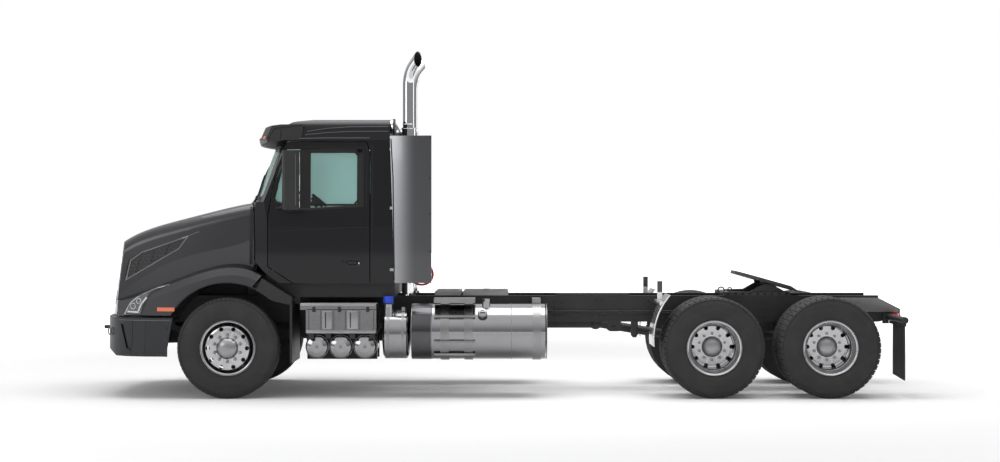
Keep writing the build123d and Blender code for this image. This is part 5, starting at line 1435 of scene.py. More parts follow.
@dataclass
class HoodTrim:
    """Lamps' bars and outlines, frames of the vents and the grille, arch lips, the rear edge's seal, and a bright
    strip along the lamp's top and the fender's crease that is a painted highlight.
    """

    # a bright strip along the lamp's top edge and up the fender's crease: a painted highlight
    lamp_edge: Strip = Strip(
        ON_LAMPS, ((-4.098, 0.902), (-4.066, 0.962), (-4.020, 1.033), (-3.908, 1.117), (-3.753, 1.188),
                   (-3.590, 1.226)), width=0.009, proud=0.004)
    lamp_seal: Strip = Strip(
        ON_LAMPS, ((-4.085, 0.905), (-3.905, 0.899), (-3.868, 0.991), (-3.798, 1.126), (-3.610, 1.216)),
        width=0.008, proud=0.002)
    lamp_bar: Strip = Strip(
        ON_LAMPS, ((-4.060, 0.930), (-3.935, 0.926), (-3.898, 1.010), (-3.835, 1.085)), width=0.015, proud=0.006)
    # the bright line along the middle of the lamp's bar
    core_width: float = 0.004
    core_proud: float = 0.009
    # middle and radius of each reflector, and its ring's width
    reflectors: tuple[Point, ...] = ((-3.995, 0.990, 0.030), (-3.930, 1.045, 0.026))
    reflector_width: float = 0.007
    ring_degrees: tuple[int, ...] = tuple(range(0, 360, 18))
    vent: Strip = Strip(
        ON_HOOD, ((-4.124, 1.269), (-4.074, 1.483), (-3.947, 1.569), (-3.433, 1.746), (-3.532, 1.611)),
        width=0.014, proud=0.006, closed=True)
    vent_tail: Strip = Strip(ON_HOOD, ((-3.433, 1.748), (-3.312, 1.796)), width=0.007, proud=0.004)
    vent_rib: Strip = Strip(ON_HOOD, ((0.0, -0.085), (0.05, 0.085)), width=0.006, proud=0.002)
    rib_places: Line = ((-4.02, 1.43), (-3.86, 1.51), (-3.70, 1.57))
    seam: Strip = Strip(
        ("hood_shell",), ((-2.732, 2.070), (-2.730, 1.738), (-2.736, 1.440)), width=0.034, proud=0.0015)
    arch_centre: Pair = (-2.958, 0.545)
    arch_radius: float = 0.706
    arch_degrees: tuple[int, ...] = tuple(range(142, 63, -6))
    grille_frame: Strip = Strip(
        ON_HOOD, ((-0.66, 1.005), (0.66, 1.005), (0.60, 1.43), (-0.60, 1.43)),
        width=0.016, proud=0.006, face=Face.FRONT, closed=True)

    def build(self) -> None:
        """Lays the trim on the left and mirrors it."""
        core = Strip(ON_LAMPS, self.lamp_bar.path, self.core_width, self.core_proud)
        circles = [arc_path((x, z), radius, self.ring_degrees) for x, z, radius in self.reflectors]
        rings = [Strip(ON_LAMPS, path, self.reflector_width, 0.005, closed=True, step=0.02) for path in circles]
        ribs = [self.vent_rib.moved(place) for place in self.rib_places]
        lip = Strip(("hood_shell",), arc_path(self.arch_centre, self.arch_radius, self.arch_degrees), 0.012, 0.004)
        table = (
            ("hood_bright_trim", "polished_aluminium", SATIN_TRIM, (self.lamp_edge, core, *rings)),
            ("vent_edges", "dark_plastic", EDGE_GREY, (self.vent, self.vent_tail)),
            ("lamp_bars", "lamp_glass", LAMP_WHITE, (self.lamp_bar,)),
            ("hood_seals", "dark_plastic", SEAM_BLACK, (self.lamp_seal, self.seam, *ribs)),
            ("arch_lips", "dark_plastic", DARK_PLASTIC, (lip,)))
        for name, slot, finish, strips in table:
            group(name, slot, finish, strips, "hood", twin=True)
        group("grille_frame", "polished_aluminium", SATIN_TRIM, [self.grille_frame], "hood")


# Cab


@dataclass
class CabTrim:
    """Seals, drip rails, seams, wipers and lamps of the cab, with a painted highlight on the roof's drip rail and
    ridges and painted shade and reflection on the door glass.
    """

    window: Strip = Strip(
        ("left_door", "left_door_glass"),
        ((-2.316, 2.025), (-1.497, 2.075), (-1.497, 2.706), (-2.349, 2.706), (-2.476, 2.155), (-2.454, 2.117),
         (-2.388, 2.094)), width=0.026, closed=True)
    # black bands laid on the door glass, each a line and its width: painted shade and reflection where the glass
    # looks dark
    bands: tuple[tuple[Line, float], ...] = (
        (((-2.135, 2.050), (-2.135, 2.702)), 0.115), (((-2.080, 2.675), (-1.515, 2.675)), 0.050),
        (((-1.540, 2.085), (-1.540, 2.690)), 0.070), (((-2.060, 2.200), (-1.905, 2.075)), 0.030),
        (((-2.066, 2.165), (-1.945, 2.072)), 0.040), (((-2.072, 2.120), (-2.000, 2.070)), 0.045),
        (((-2.080, 2.085), (-1.560, 2.088)), 0.020), (((-1.600, 2.660), (-1.560, 2.620)), 0.020),
        (((-1.600, 2.098), (-1.560, 2.138)), 0.020))
    crease: Strip = Strip(
        ("left_door",), ((-2.440, 1.790), (-2.339, 1.808), (-1.755, 1.835), (-1.445, 1.848)),
        width=0.010, proud=0.004)
    frame_line: Strip = Strip(("left_door",), ((-1.468, 2.735), (-1.468, 2.060)), width=0.006)
    cup: Block = Block((-1.682, -1.076, 1.412), (-1.540, -1.0695, 1.492), 0.005, 3)
    cup_hollow: Block = Block((-1.672, -1.080, 1.422), (-1.562, -1.0715, 1.482), 0.003)
    lever: Block = Block((-1.668, -1.090, 1.448), (-1.575, -1.079, 1.476), 0.005, 3)
    stem: tuple[Point, Point] = ((-1.655, -1.072, 1.462), (-1.655, -1.084, 1.462))
    stem_radius: float = 0.007
    lock_place: Point = (-1.551, 0.0, 1.452)
    # radius and place across the vehicle
    lock: Line = ((0.0, -1.0795), (0.0075, -1.0795), (0.009, -1.078), (0.009, -1.074))
    drip: Strip = Strip(ON_CAB, ((-2.200, 2.806), (-1.900, 2.812), (-1.440, 2.812)), width=0.010, proud=0.007)
    # raised lines on the roof's side in a paler grey than the body: real ridges with a painted highlight along them
    ridges: tuple[Line, ...] = (
        ((-2.120, 2.885), (-1.900, 2.918), (-1.650, 2.935), (-1.240, 2.938)),
        ((-2.140, 2.848), (-1.900, 2.872), (-1.650, 2.884), (-1.240, 2.886)))
    rear_seam: Strip = Strip(ON_CAB, ((-1.408, 2.740), (-1.408, 1.270)), width=0.006, proud=0.0015)
    cowl_seal: Strip = Strip(
        ("cab_body",), ((-2.684, 2.060), (-2.684, 1.738), (-2.684, 1.440)), width=0.020, proud=0.0015)
    firewall: Block = Block((-2.840, -0.505, 1.080), (-2.560, -0.480, 1.345), 0.006)
    screen: Strip = Strip(
        ON_SCREEN, ((-0.905, 2.165), (0.0, 2.150), (0.905, 2.165), (0.838, 2.715), (0.0, 2.735), (-0.838, 2.715)),
        width=0.030, face=Face.FRONT, closed=True, step=0.05)
    wiper_feet: Places = (-0.62, 0.18)
    wiper_arm: Strip = Strip(
        ON_SCREEN, ((0.0, 2.150), (0.10, 2.300), (0.30, 2.420)), width=0.014, proud=0.022, face=Face.FRONT)
    wiper_blade: Strip = Strip(
        ON_SCREEN, ((0.02, 2.270), (0.30, 2.425), (0.56, 2.550)), width=0.010, proud=0.014, face=Face.FRONT)
    nozzle_ys: Places = (-0.78, -0.60)
    # foot and tip, along and up
    nozzle: Line = ((-2.735, 2.105), (-2.700, 2.165))
    nozzle_radii: Pair = (0.016, 0.010)
    marker_ys: Places = (-0.93, -0.47, 0.0, 0.47, 0.93)
    marker: Strip = Strip(ON_VISOR, ((-0.045, 2.822), (0.045, 2.822)), width=0.024, proud=0.012, face=Face.FRONT)
    visor_lines: tuple[Line, ...] = (
        ((-2.545, 2.800), (-2.470, 2.915), (-2.170, 2.948)), ((-2.410, 2.790), (-2.395, 2.905)))
    work_lamp: Point = (0.0, -0.890, 2.938)
    # radius and place along the vehicle
    lamp_bowl: Line = ((0.045, -1.262), (0.066, -1.240), (0.080, -1.212), (0.0875, -1.190))
    lamp_rim: Line = ((0.0875, -1.190), (0.0895, -1.186), (0.0895, -1.170), (0.082, -1.168), (0.078, -1.172))
    lamp_lens: Line = ((0.078, -1.1715), (0.050, -1.1695), (0.0, -1.168))

    def build(self) -> None:
        """Builds each group of trim."""
        for side in Side:
            self._door(side)
        # the drip rail and ridges take a paler grey than the body paint: a painted highlight along them
        ridges = [Strip(ON_CAB, path, 0.008, 0.004) for path in self.ridges]
        group("drip_rails", "body_paint", EDGE_GREY, [self.drip, *ridges], twin=True)
        group("cab_seams", "dark_plastic", SEAM_BLACK, [self.rear_seam, self.cowl_seal], twin=True)
        group("firewall_panels", "dark_plastic", CHASSIS_BLACK, [self.firewall], twin=True)
        group("screen_seal", "dark_plastic", SEAM_BLACK, [self.screen])
        self._wipers()
        self._visor()
        self._work_lamps()

    def _door(self, side: Side) -> None:
        """A door's window seal, crease, handle and lock."""
        body = f"{side.word}_door"
        # the dark bands on the glass are painted shade and reflection
        bands = [Strip(("left_door_glass",), path, width) for path, width in self.bands]
        group(f"{body}_window_seal", "dark_plastic", SEAM_BLACK, [self.window, *bands], body, turn=side.turn)
        crease = self.crease.build().modify("BEVEL", width=0.0018, segments=2)
        crease.coat(BODY_PAINT).moved(side.turn)
        line = self.frame_line.build().coat(BUMPER_PAINT).moved(side.turn)
        join(f"{body}_crease", [crease, line]).settle(body, "body_paint")
        cup = self.cup.build().cut(self.cup_hollow.build())
        handle = [cup, self.lever, Piece.rod("stem", *self.stem, self.stem_radius, 12)]
        group(f"{body}_handle", "dark_plastic", GLOSS_BLACK, handle, body, turn=side.turn)
        lock = Piece.lathe("lock", self.lock, self.lock_place, steps=20)
        group(f"{body}_lock", "polished_aluminium", SATIN_TRIM, [lock], body, turn=side.turn)

    def _wipers(self) -> None:
        """Two wipers and the washer nozzles."""
        wiper = (self.wiper_arm, self.wiper_blade)
        parts = [shape.moved((foot, 0.0)) for foot in self.wiper_feet for shape in wiper]
        root, tip = self.nozzle_radii
        parts += [Piece.rod("nozzle", *((x, y, z) for x, z in self.nozzle), root, 14, tip) for y in self.nozzle_ys]
        group("wipers", "dark_plastic", DARK_PLASTIC, parts)

    def _visor(self) -> None:
        """Amber clearance lamps on the visor's front, and its edge lines."""
        lamps = [self.marker.moved((y, 0.0)).build().bevel(0.004) for y in self.marker_ys]
        group("clearance_lamps", "lamp_amber", AMBER, lamps)
        lines = [Strip(ON_VISOR, path, 0.006) for path in self.visor_lines]
        group("visor_edges", "dark_plastic", GLOSS_BLACK, lines, twin=True)

    def _work_lamps(self) -> None:
        """Bowls, rims and lenses of the two lamps at the roof's rear corners."""
        table = ((self.lamp_bowl, CHROME), (self.lamp_rim, SEAM_BLACK), (self.lamp_lens, LAMP_WHITE))
        parts = [Piece.lathe("lamp", profile, self.work_lamp, Axis.ALONG, 40).coat(finish)
                 for profile, finish in table]
        both_sides("work_lamp_trim", parts).settle("chassis", "polished_aluminium")


@dataclass
class MirrorTrim:
    """Reflecting glass of the door mirrors, and a grey line down each that is a painted highlight."""

    glasses: tuple[Block, ...] = (
        Block((-2.1660, -1.332, 2.225), (-2.1614, -1.250, 2.640), 0.002),
        Block((-2.1660, -1.332, 2.055), (-2.1614, -1.250, 2.200), 0.002))
    # a grey line down the mirror's side: a painted highlight
    line: Strip = Strip(("left_mirror",), ((-2.205, 2.080), (-2.205, 2.615)), width=0.008, proud=0.004)

    def build(self) -> None:
        """Dresses both mirrors."""
        for side in Side:
            body = f"{side.word}_door"
            group(f"{body}_mirror_glass", "glass", MIRROR_GLASS, self.glasses, body, turn=side.turn)
            group(f"{body}_mirror_line", "dark_plastic", EDGE_GREY, [self.line], body, turn=side.turn)


# Front


@dataclass
class BumperTrim:
    """Facet lines, a ring at each corner, bolts, and a grey strip along the bumper's upper edge that is a painted
    highlight.
    """

    facets: tuple[Line, ...] = (
        ((-3.985, 0.850), (-3.990, 0.680), (-4.010, 0.470)), ((-3.840, 0.850), (-3.850, 0.470)))
    # a grey strip along the bumper's upper edge: a painted highlight
    lip: Strip = Strip(
        ("front_bumper",), ((-4.150, 0.842), (-3.900, 0.842), (-3.560, 0.842)), width=0.010, proud=0.004)
    ring_place: Point = (-4.286, -0.905, 0.711)
    ring_way: Point = (-0.85, -0.52, 0.0)
    ring_radii: Pair = (0.038, 0.0055)
    bolts: tuple[Point, ...] = ((-3.612, -1.2125, 0.579), (-3.612, -1.2125, 0.760))

    def build(self) -> None:
        """Lays the lines and sets the small parts."""
        lines = [Strip(("front_bumper",), path, 0.007).build().coat(BUMPER_PAINT) for path in self.facets]
        both_sides("bumper_lines", [*lines, self.lip.build().coat(EDGE_GREY)]).settle("chassis", "bumper_paint")
        ring = Piece.hoop("ring", self.ring_place, self.ring_way, *self.ring_radii)
        bolts = bolt_heads(self.bolts, (0.0, -1.0, 0.0), 0.010)
        group("bumper_bolts", "cast_black", CAST_BLACK, [ring, bolts], twin=True)


# Behind the cab


@dataclass
class StackTrim:
    """Soot inside the mouths and clamps round the stacks."""

    place: Pair = (-1.051, -0.380)
    radius: float = 0.0572
    bend_z: float = 3.450
    bend_radius: float = 0.300
    mouth: float = 0.1469
    # how far the soot stops short of the mouth
    short: float = 0.0015
    outward: float = math.radians(-42.0)
    # angle along the bend and share of the radius; the last ring lies in the mouth's plane
    rings: Line = ((0.30, 0.0), (0.30, 1.0), (0.45, 1.0), (0.62, 1.0), (math.pi / 4, 1.0), (math.pi / 4, 1.0))
    steps: int = 32
    # height and radius
    clamps: Line = ((2.948, 0.0765), (2.300, 0.0765), (1.640, 0.0765), (3.000, 0.0630))
    clamp_wire: float = 0.0045

    def build(self) -> None:
        """Builds the liners and the clamps."""
        turn = Matrix.Translation((*self.place, 0.0)) @ Matrix.Rotation(self.outward, 4, "Z")
        rings = [self._ring(number) for number in range(len(self.rings))]
        liner = Piece.grid("liner", rings).merged()
        group("stack_soot", "stack_chrome", LINER_BLACK, [liner], twin=True, turn=turn)
        bands = [Piece.hoop("clamp", (*self.place, z), Axis.UP.value, radius, self.clamp_wire)
                 for z, radius in self.clamps]
        group("stack_clamps", "stack_chrome", CHROME, bands, twin=True)

    def _ring(self, number: int) -> list[Point]:
        """One ring of the liner, about the pipe's bend.

        Args:
            number: Which ring, from the inside outwards.

        Returns:
            Its points, the last on the first.
        """
        angle, share = self.rings[number]
        axis = Vector((math.sin(angle), 0.0, math.cos(angle)))
        out = Vector((math.cos(angle), 0.0, -math.sin(angle)))
        middle = Vector((self.bend_radius * (1 - math.cos(angle)), 0.0,
                         self.bend_z + self.bend_radius * math.sin(angle)))
        ring = []
        for step in range(self.steps + 1):
            turn = 2 * math.pi * step / self.steps
            way = out * math.cos(turn) + Vector(Axis.ACROSS.value) * math.sin(turn)
            place = middle + way * self.radius * share
            if number == len(self.rings) - 1:
                place += axis * ((self.mouth - self.short - place.x) / axis.x)
            ring.append(tuple(place))
        return ring


@dataclass
class FairingTrim:
    """Front seal and rear clips of the side fairings."""

    seal: Strip = Strip(
        ("side_fairings", "cab_body"), ((-1.203, 2.800), (-1.180, 2.380), (-1.166, 1.270)),
        width=0.012, proud=0.002)
    # place along the vehicle and distance from its middle
    clip_places: tuple[tuple[Side, float, float], ...] = ((Side.LEFT, -0.779, 1.171), (Side.RIGHT, -0.900, 1.153))
    clip_zs: Places = (2.805, 2.373, 1.986, 1.588)

    def build(self) -> None:
        """Builds the trim of each side."""
        group("fairing_seals", "dark_plastic", SEAM_BLACK, [self.seal], twin=True)
        clips = []
        for side, x, y in self.clip_places:
            near, far = sorted((side.value * (y - 0.012), side.value * (y + 0.014)))
            clips += [Block((x - 0.012, near, z - 0.011), (x + 0.016, far, z + 0.011), 0.003)
                      for z in self.clip_zs]
        group("fairing_clips", "dark_plastic", CAST_BLACK, clips)


# Boxes and tanks


@dataclass
class SideBoxTrim:
    """Ribs, treads, latches and seams of the boxes under the doors, and bands of the air tanks."""

    tread: Block = Block((-2.176, -1.158, 0.996), (-1.362, -1.120, 1.026), 0.004)
    stud: tuple[Point, Point] = ((-2.150, -1.135, 1.018), (-2.150, -1.135, 1.028))
    stud_radii: Pair = (0.012, 0.008)
    stud_count: int = 20
    stud_pitch: float = 0.0405
    second_row: Point = (0.02, 0.05, 0.0)
    ledge: Block = Block((-2.116, -1.152, 0.700), (-1.360, -1.110, 0.735), 0.004)
    ribs: tuple[Block, ...] = (
        Block((-1.940, -1.160, 0.742), (-1.833, -1.138, 0.944), 0.008, 3),
        Block((-1.672, -1.160, 0.742), (-1.553, -1.138, 0.944), 0.008, 3))
    # a groove, from its rib's front edge
    groove: Block = Block((0.030, -1.165, 0.760), (0.042, -1.158, 0.926), 0.002)
    lid_seam: Strip = Strip(ON_BOX, ((-2.110, 0.957), (-1.362, 0.957)), width=0.008, proud=0.002)
    seam: Strip = Strip(ON_BOX, ((0.0, 0.740), (0.0, 0.945)), width=0.006, proud=0.002)
    seam_xs: Places = (-2.085, -1.955, -1.815, -1.690, -1.535, -1.385)
    latch: Block = Block((-0.016, -1.172, 0.930), (0.016, -1.140, 0.985), 0.005)
    latch_xs: Places = (-2.030, -1.755, -1.450)
    bracket: Block = Block((-0.030, -1.146, 0.640), (0.030, -1.100, 0.702), 0.004)
    bracket_xs: Places = (-2.060, -1.875, -1.615, -1.400)
    tank_xs: Places = (-2.003, -1.746, -1.484)
    tank_z: float = 0.552
    # place across the vehicle, radius and thickness of each weld bead
    tank_beads: tuple[Point, ...] = ((-1.060, 0.1245, 0.0035), (-1.109, 0.052, 0.003))
    # radius and place across the vehicle
    tank_plug: Line = ((0.0, -1.126), (0.014, -1.126), (0.017, -1.122), (0.017, -1.112))
    tank_band: Line = ((0.1255, -0.985), (0.128, -0.985), (0.128, -0.950), (0.1255, -0.950))
    # black blocks where the slots are: painted shade for open slots
    slot: Block = Block((0.0, 1.130, 0.0), (0.070, 1.1465, 0.012), 0.003)
    slot_xs: Places = (-2.040, -1.930, -1.820, -1.480, -1.370, -1.260)
    slot_zs: Places = (0.780, 0.815, 0.850, 0.885)
    shield_band: Block = Block((0.0, 1.110, 0.575), (0.045, 1.1485, 0.945), 0.004)
    shield_xs: Places = (-2.110, -1.660, -1.110)

    def build(self) -> None:
        """Builds each group."""
        self._treads()
        self._battery_box()
        self._tanks()
        self._shield()

    def _treads(self) -> None:
        """Step edges with raised studs, on both sides, and the battery box's ledge."""
        stud = Piece.rod("stud", *self.stud, self.stud_radii[0], 10, self.stud_radii[1])
        stud.rowed(self.stud_count, self.stud_pitch)
        second = stud.copied("stud", Matrix.Translation(self.second_row))
        group("step_treads", "deck_aluminium", TREAD_METAL, [self.tread, stud, second], twin=True)
        group("battery_box_ledge", "polished_aluminium", CAP_METAL, [self.ledge])

    def _battery_box(self) -> None:
        """Two pressed ribs, the lid's seam, rubber latches and brackets."""
        group("battery_box_ribs", "polished_aluminium", CAP_METAL, self.ribs)
        dark = [self.lid_seam, *(self.seam.moved((x, 0.0)) for x in self.seam_xs)]
        groove_xs = [rib.low[0] for rib in self.ribs]
        for block, xs in ((self.latch, self.latch_xs), (self.bracket, self.bracket_xs), (self.groove, groove_xs)):
            dark += [block.moved((x, 0.0, 0.0)) for x in xs]
        group("battery_box_latches", "dark_plastic", CHASSIS_BLACK, dark)

    def _tanks(self) -> None:
        """Weld beads, bands and drain valves of the air tanks."""
        beads, bands = [], []
        for x in self.tank_xs:
            middle = (x, 0.0, self.tank_z)
            beads += [Piece.hoop("bead", (x, y, self.tank_z), Axis.ACROSS.value, radius, thick)
                      for y, radius, thick in self.tank_beads]
            beads.append(Piece.lathe("plug", self.tank_plug, middle, steps=20))
            bands.append(Piece.lathe("band", self.tank_band, middle, steps=48, closed=True))
        group("air_tank_beads", "polished_aluminium", BRUSHED, beads)
        group("air_tank_bands", "strap_steel", CHASSIS_BLACK, bands)

    def _shield(self) -> None:
        """Slots and bands of the exhaust box on the right side; the slots are black blocks, painted shade in place
        of open slots.
        """
        slots = [self.slot.moved((x, 0.0, z)) for z in self.slot_zs for x in self.slot_xs]
        group("exhaust_box_slots", "dark_plastic", SEAM_BLACK, slots)
        bands = [self.shield_band.moved((x, 0.0, 0.0)) for x in self.shield_xs]
        group("exhaust_box_bands", "strap_steel", BRUSHED, bands)


@dataclass
class TankTrim:
    """Sleeves, welds and filler caps of the fuel tanks, and bands and rings of the urea tank."""

    middle: Point = (0.0, -0.850, 0.706)
    # radius and place along the vehicle
    sleeve: Line = ((0.3002, -0.978), (0.3035, -0.974), (0.3035, -0.776), (0.3002, -0.772))
    weld_xs: Places = (-0.982, -0.765, 0.100, 0.482)
    weld_radii: Pair = (0.2995, 0.0045)
    filler_x: float = -0.212
    filler_lean: float = math.radians(52.0)
    # radius and height over the tank's middle
    filler_cap: Line = (
        (0.040, 0.285), (0.040, 0.318), (0.050, 0.320), (0.052, 0.326), (0.052, 0.352), (0.046, 0.359),
        (0.030, 0.361), (0.028, 0.357), (0.0, 0.357))
    filler_bar: Block = Block((-0.026, -0.006, 0.356), (0.026, 0.006, 0.371), 0.003)
    urea_band: Strip = Strip(
        ("urea_tank",), ((0.0, 0.975), (0.0, 0.700), (0.0, 0.440)), width=0.036, proud=0.004, step=0.015)
    urea_band_xs: Places = (-1.235, -1.075)
    urea_neck: Pair = (-1.236, -1.017)
    neck_z: float = 1.016
    neck_radii: Pair = (0.054, 0.008)
    cap_rib: Block = Block((-0.003, -0.0555, 1.028), (0.003, -0.051, 1.086), 0.001, 1)
    cap_ribs: int = 24

    def build(self) -> None:
        """Builds each group on both sides."""
        sleeve = Piece.lathe("sleeve", self.sleeve, self.middle, Axis.ALONG, 72)
        group("tank_sleeves", "strap_steel", SLEEVE_METAL, [sleeve], twin=True)
        welds = [Piece.hoop("weld", (x, *self.middle[1:]), Axis.ALONG.value, *self.weld_radii, 72)
                 for x in self.weld_xs]
        group("tank_welds", "polished_aluminium", BRUSHED, welds, twin=True)
        self._fillers()
        self._urea()

    def _fillers(self) -> None:
        """Caps with a bar, leaning outwards."""
        cap = Piece.lathe("cap", self.filler_cap, axis=Axis.UP, steps=40)
        place = Matrix.Translation((self.filler_x, *self.middle[1:])) @ Matrix.Rotation(self.filler_lean, 4, "X")
        group("tank_filler_caps", "polished_aluminium", POLISHED, [cap, self.filler_bar], twin=True, turn=place)

    def _urea(self) -> None:
        """Bands, neck ring and ribbed cap of the urea tank."""
        bands = [self.urea_band.moved((x, 0.0)) for x in self.urea_band_xs]
        group("urea_tank_bands", "strap_steel", BRUSHED, bands)
        neck = Piece.hoop("neck", (*self.urea_neck, self.neck_z), Axis.UP.value, *self.neck_radii)
        group("urea_neck_ring", "dark_plastic", CHASSIS_BLACK, [neck])
        ribs = self.cap_rib.build().ringed(self.cap_ribs, Axis.UP)
        place = Matrix.Translation((*self.urea_neck, 0.0))
        group("urea_cap_ribs", "blue_plastic", BLUE_PLASTIC, [ribs], turn=place)


# Frame


@dataclass
class FrameTrim:
    """Bolts, conduits, brackets and deck teeth along the frame."""

    bolt_xs: Places = (0.60, 0.66, 1.05, 1.11, 1.60, 1.66, 2.10, 2.16, 2.90, 2.96, 3.90, 3.96)
    bolt_y: float = -0.4305
    bolt_zs: Places = (0.850, 0.935, 1.020)
    # y, z, start and end of each line
    lines: tuple[Places, ...] = (
        (-0.418, 1.0935, 0.60, 1.42), (-0.4415, 0.905, 0.52, 2.30), (-0.4415, 0.885, 0.52, 2.30))
    line_radius: float = 0.0105
    clip: Block = Block((0.0, -0.458, 0.868), (0.022, -0.430, 0.922), 0.004)
    clip_xs: Places = (0.58, 0.95, 1.32, 1.72, 2.08)
    loop: Line = ((1.173, 0.800), (1.173, 0.700), (1.205, 0.680), (1.305, 0.680), (1.330, 0.705), (1.330, 0.800))
    loop_y: float = -0.434
    loop_hole: tuple[Point, Point] = ((1.252, -0.500, 0.732), (1.252, -0.380, 0.732))
    loop_hole_radius: float = 0.026
    hanger: Line = ((1.440, 0.800), (1.440, 0.640), (1.462, 0.612), (1.500, 0.612), (1.520, 0.650), (1.520, 0.800))
    hanger_y: float = -0.440
    tooth: Line = ((-0.740, 1.124), (-0.728, 1.1345), (-0.716, 1.124))
    tooth_y: float = -0.430
    tooth_count: int = 11
    tooth_pitch: float = 0.0255
    # where further rows of teeth start, along and across
    tooth_runs: Places = (0.310, 0.528)
    tooth_rows: Places = (0.12, 0.25, 0.38)
    tail_plate: Line = (
        (3.640, 1.056), (4.205, 1.056), (4.435, 0.925), (4.435, 0.898), (4.070, 0.898), (3.900, 0.990),
        (3.640, 1.010))
    tail_y: float = -0.4450
    lamp_ys: Places = (-0.5010, -0.6154)
    lamp_place: Pair = (4.400, 0.842)
    lamp_radii: Pair = (0.051, 0.005)
    flap_edge: Strip = Strip(("mud_flaps",), ((4.3255, 0.205), (4.3255, 0.800)), width=0.006, proud=0.002)
    flap_rib: Block = Block((4.3305, -1.190, 0.215), (4.3345, -1.182, 0.790), 0.001)
    flap_rib_pitch: float = 0.09
    flap_ribs: int = 7

    def build(self) -> None:
        """Builds each group."""
        places = [(x, self.bolt_y, z) for x in self.bolt_xs for z in self.bolt_zs]
        bolts = bolt_heads(places, (0.0, -1.0, 0.0), 0.013)
        group("frame_bolts", "cast_black", CAST_BLACK, [bolts], twin=True)
        self._lines()
        self._deck()
        self._tail()

    @staticmethod
    def _upright(outline: Line, y: float, thick: float) -> Piece:
        """A plate that stands along the vehicle.

        Args:
            outline: Its corners, along and up.
            y: Where its outer face is.
            thick: How far it goes inwards.

        Returns:
            The plate.
        """
        return Piece.plate("plate", [(x, y, z) for x, z in outline], (0.0, thick, 0.0))

    def _lines(self) -> None:
        """Air and power lines along the left rail, with clips and two brackets."""
        parts = [Piece.rod("line", (start, y, z), (end, y, z), self.line_radius, 14).bevel(0.002)
                 for y, z, start, end in self.lines]
        parts += [self.clip.moved((x, 0.0, 0.0)) for x in self.clip_xs]
        loop = self._upright(self.loop, self.loop_y, 0.012)
        loop.cut(Piece.rod("hole", *self.loop_hole, self.loop_hole_radius, 20))
        hanger = self._upright(self.hanger, self.hanger_y, 0.030).bevel(0.004)
        group("frame_lines", "chassis_black", CHASSIS_BLACK, [*parts, loop, hanger])

    def _deck(self) -> None:
        """Teeth along the deck plates' outer edges and bars."""
        tooth = self._upright(self.tooth, self.tooth_y, 0.030).rowed(self.tooth_count, self.tooth_pitch)
        edge = [tooth, *(tooth.copied("tooth", Matrix.Translation((run, 0.0, 0.0))) for run in self.tooth_runs)]
        rows = [piece.copied("tooth", Matrix.Translation((0.0, shift, 0.0)))
                for piece in edge for shift in self.tooth_rows]
        group("deck_teeth", "deck_aluminium", TREAD_METAL, edge + rows, twin=True)

    def _tail(self) -> None:
        """Pale side plates at the rails' ends, rings round the tail lamps and ribs on the flaps."""
        plate = self._upright(self.tail_plate, self.tail_y, 0.008).bevel(0.002)
        group("tail_plates", "chassis_black", TAIL_SHEET, [plate], twin=True)
        x, z = self.lamp_place
        rings = [Piece.hoop("ring", (x, y, z), Axis.ALONG.value, *self.lamp_radii, 32, 8) for y in self.lamp_ys]
        group("tail_lamp_rings", "dark_plastic", GLOSS_BLACK, rings, twin=True)
        ribs = [self.flap_rib.moved((0.0, self.flap_rib_pitch * number, 0.0)) for number in range(self.flap_ribs)]
        group("flap_ribs", "flap_rubber", FLAP_RUBBER, [self.flap_edge, *ribs], twin=True)


@dataclass
class CouplingTrim:
    """Release handle of the fifth wheel, its slide's bolts and the edges of the quarter fenders."""

    handle_y: float = -0.448
    # x, z, radius and thickness of the two rings
    handle_rings: tuple[Places, ...] = (
        (2.448, 1.142, 0.034, 0.0075), (2.545, 1.150, 0.022, 0.006))
    handle_rod: Line = ((2.480, 1.146), (2.700, 1.152))
    slide_bolt_xs: Places = (2.56, 2.72, 3.00, 3.15)
    slide_bolt_y: float = 0.395
    slide_bolt_z: float = 1.107
    fender_centre: Pair = (2.361, 0.635)
    fender_radius: float = 0.735
    fender_degrees: tuple[int, ...] = tuple(range(185, 139, -3))
    bead_y: float = -1.199
    bead_radius: float = 0.0075

    def build(self) -> None:
        """Builds each group."""
        ring, hook = (Piece.hoop("ring", (x, self.handle_y, z), Axis.ACROSS.value, radius, thick)
                      for x, z, radius, thick in self.handle_rings)
        rod = Piece.rod("rod", *((x, self.handle_y, z) for x, z in self.handle_rod), 0.008, 14)
        group("coupling_handle", "fifth_wheel_black", GREASED, [ring, rod, hook])
        places = [(x, y, self.slide_bolt_z) for x in self.slide_bolt_xs
                  for y in (-self.slide_bolt_y, self.slide_bolt_y)]
        group("slide_bolts", "fifth_wheel_black", GREASED, [bolt_heads(places, Axis.UP.value, 0.014)])
        arc = arc_path(self.fender_centre, self.fender_radius, self.fender_degrees)
        rail = [(x, self.bead_y, z) for x, z in arc]
        beads = [Piece.rod("bead", start, end, self.bead_radius, 10) for start, end in zip(rail, rail[1:])]
        group("fender_beads", "fender_steel", BRIGHT_SHEET, beads, twin=True)


# Seats


@dataclass(frozen=True)
class Pad:
    """A seat pad: its corners before the swelling, and how it leans to the rear about a foot."""

    name: str
    low: Point
    high: Point
    lean: float = 0.0
    foot: Point = (0.0, 0.0, 0.0)


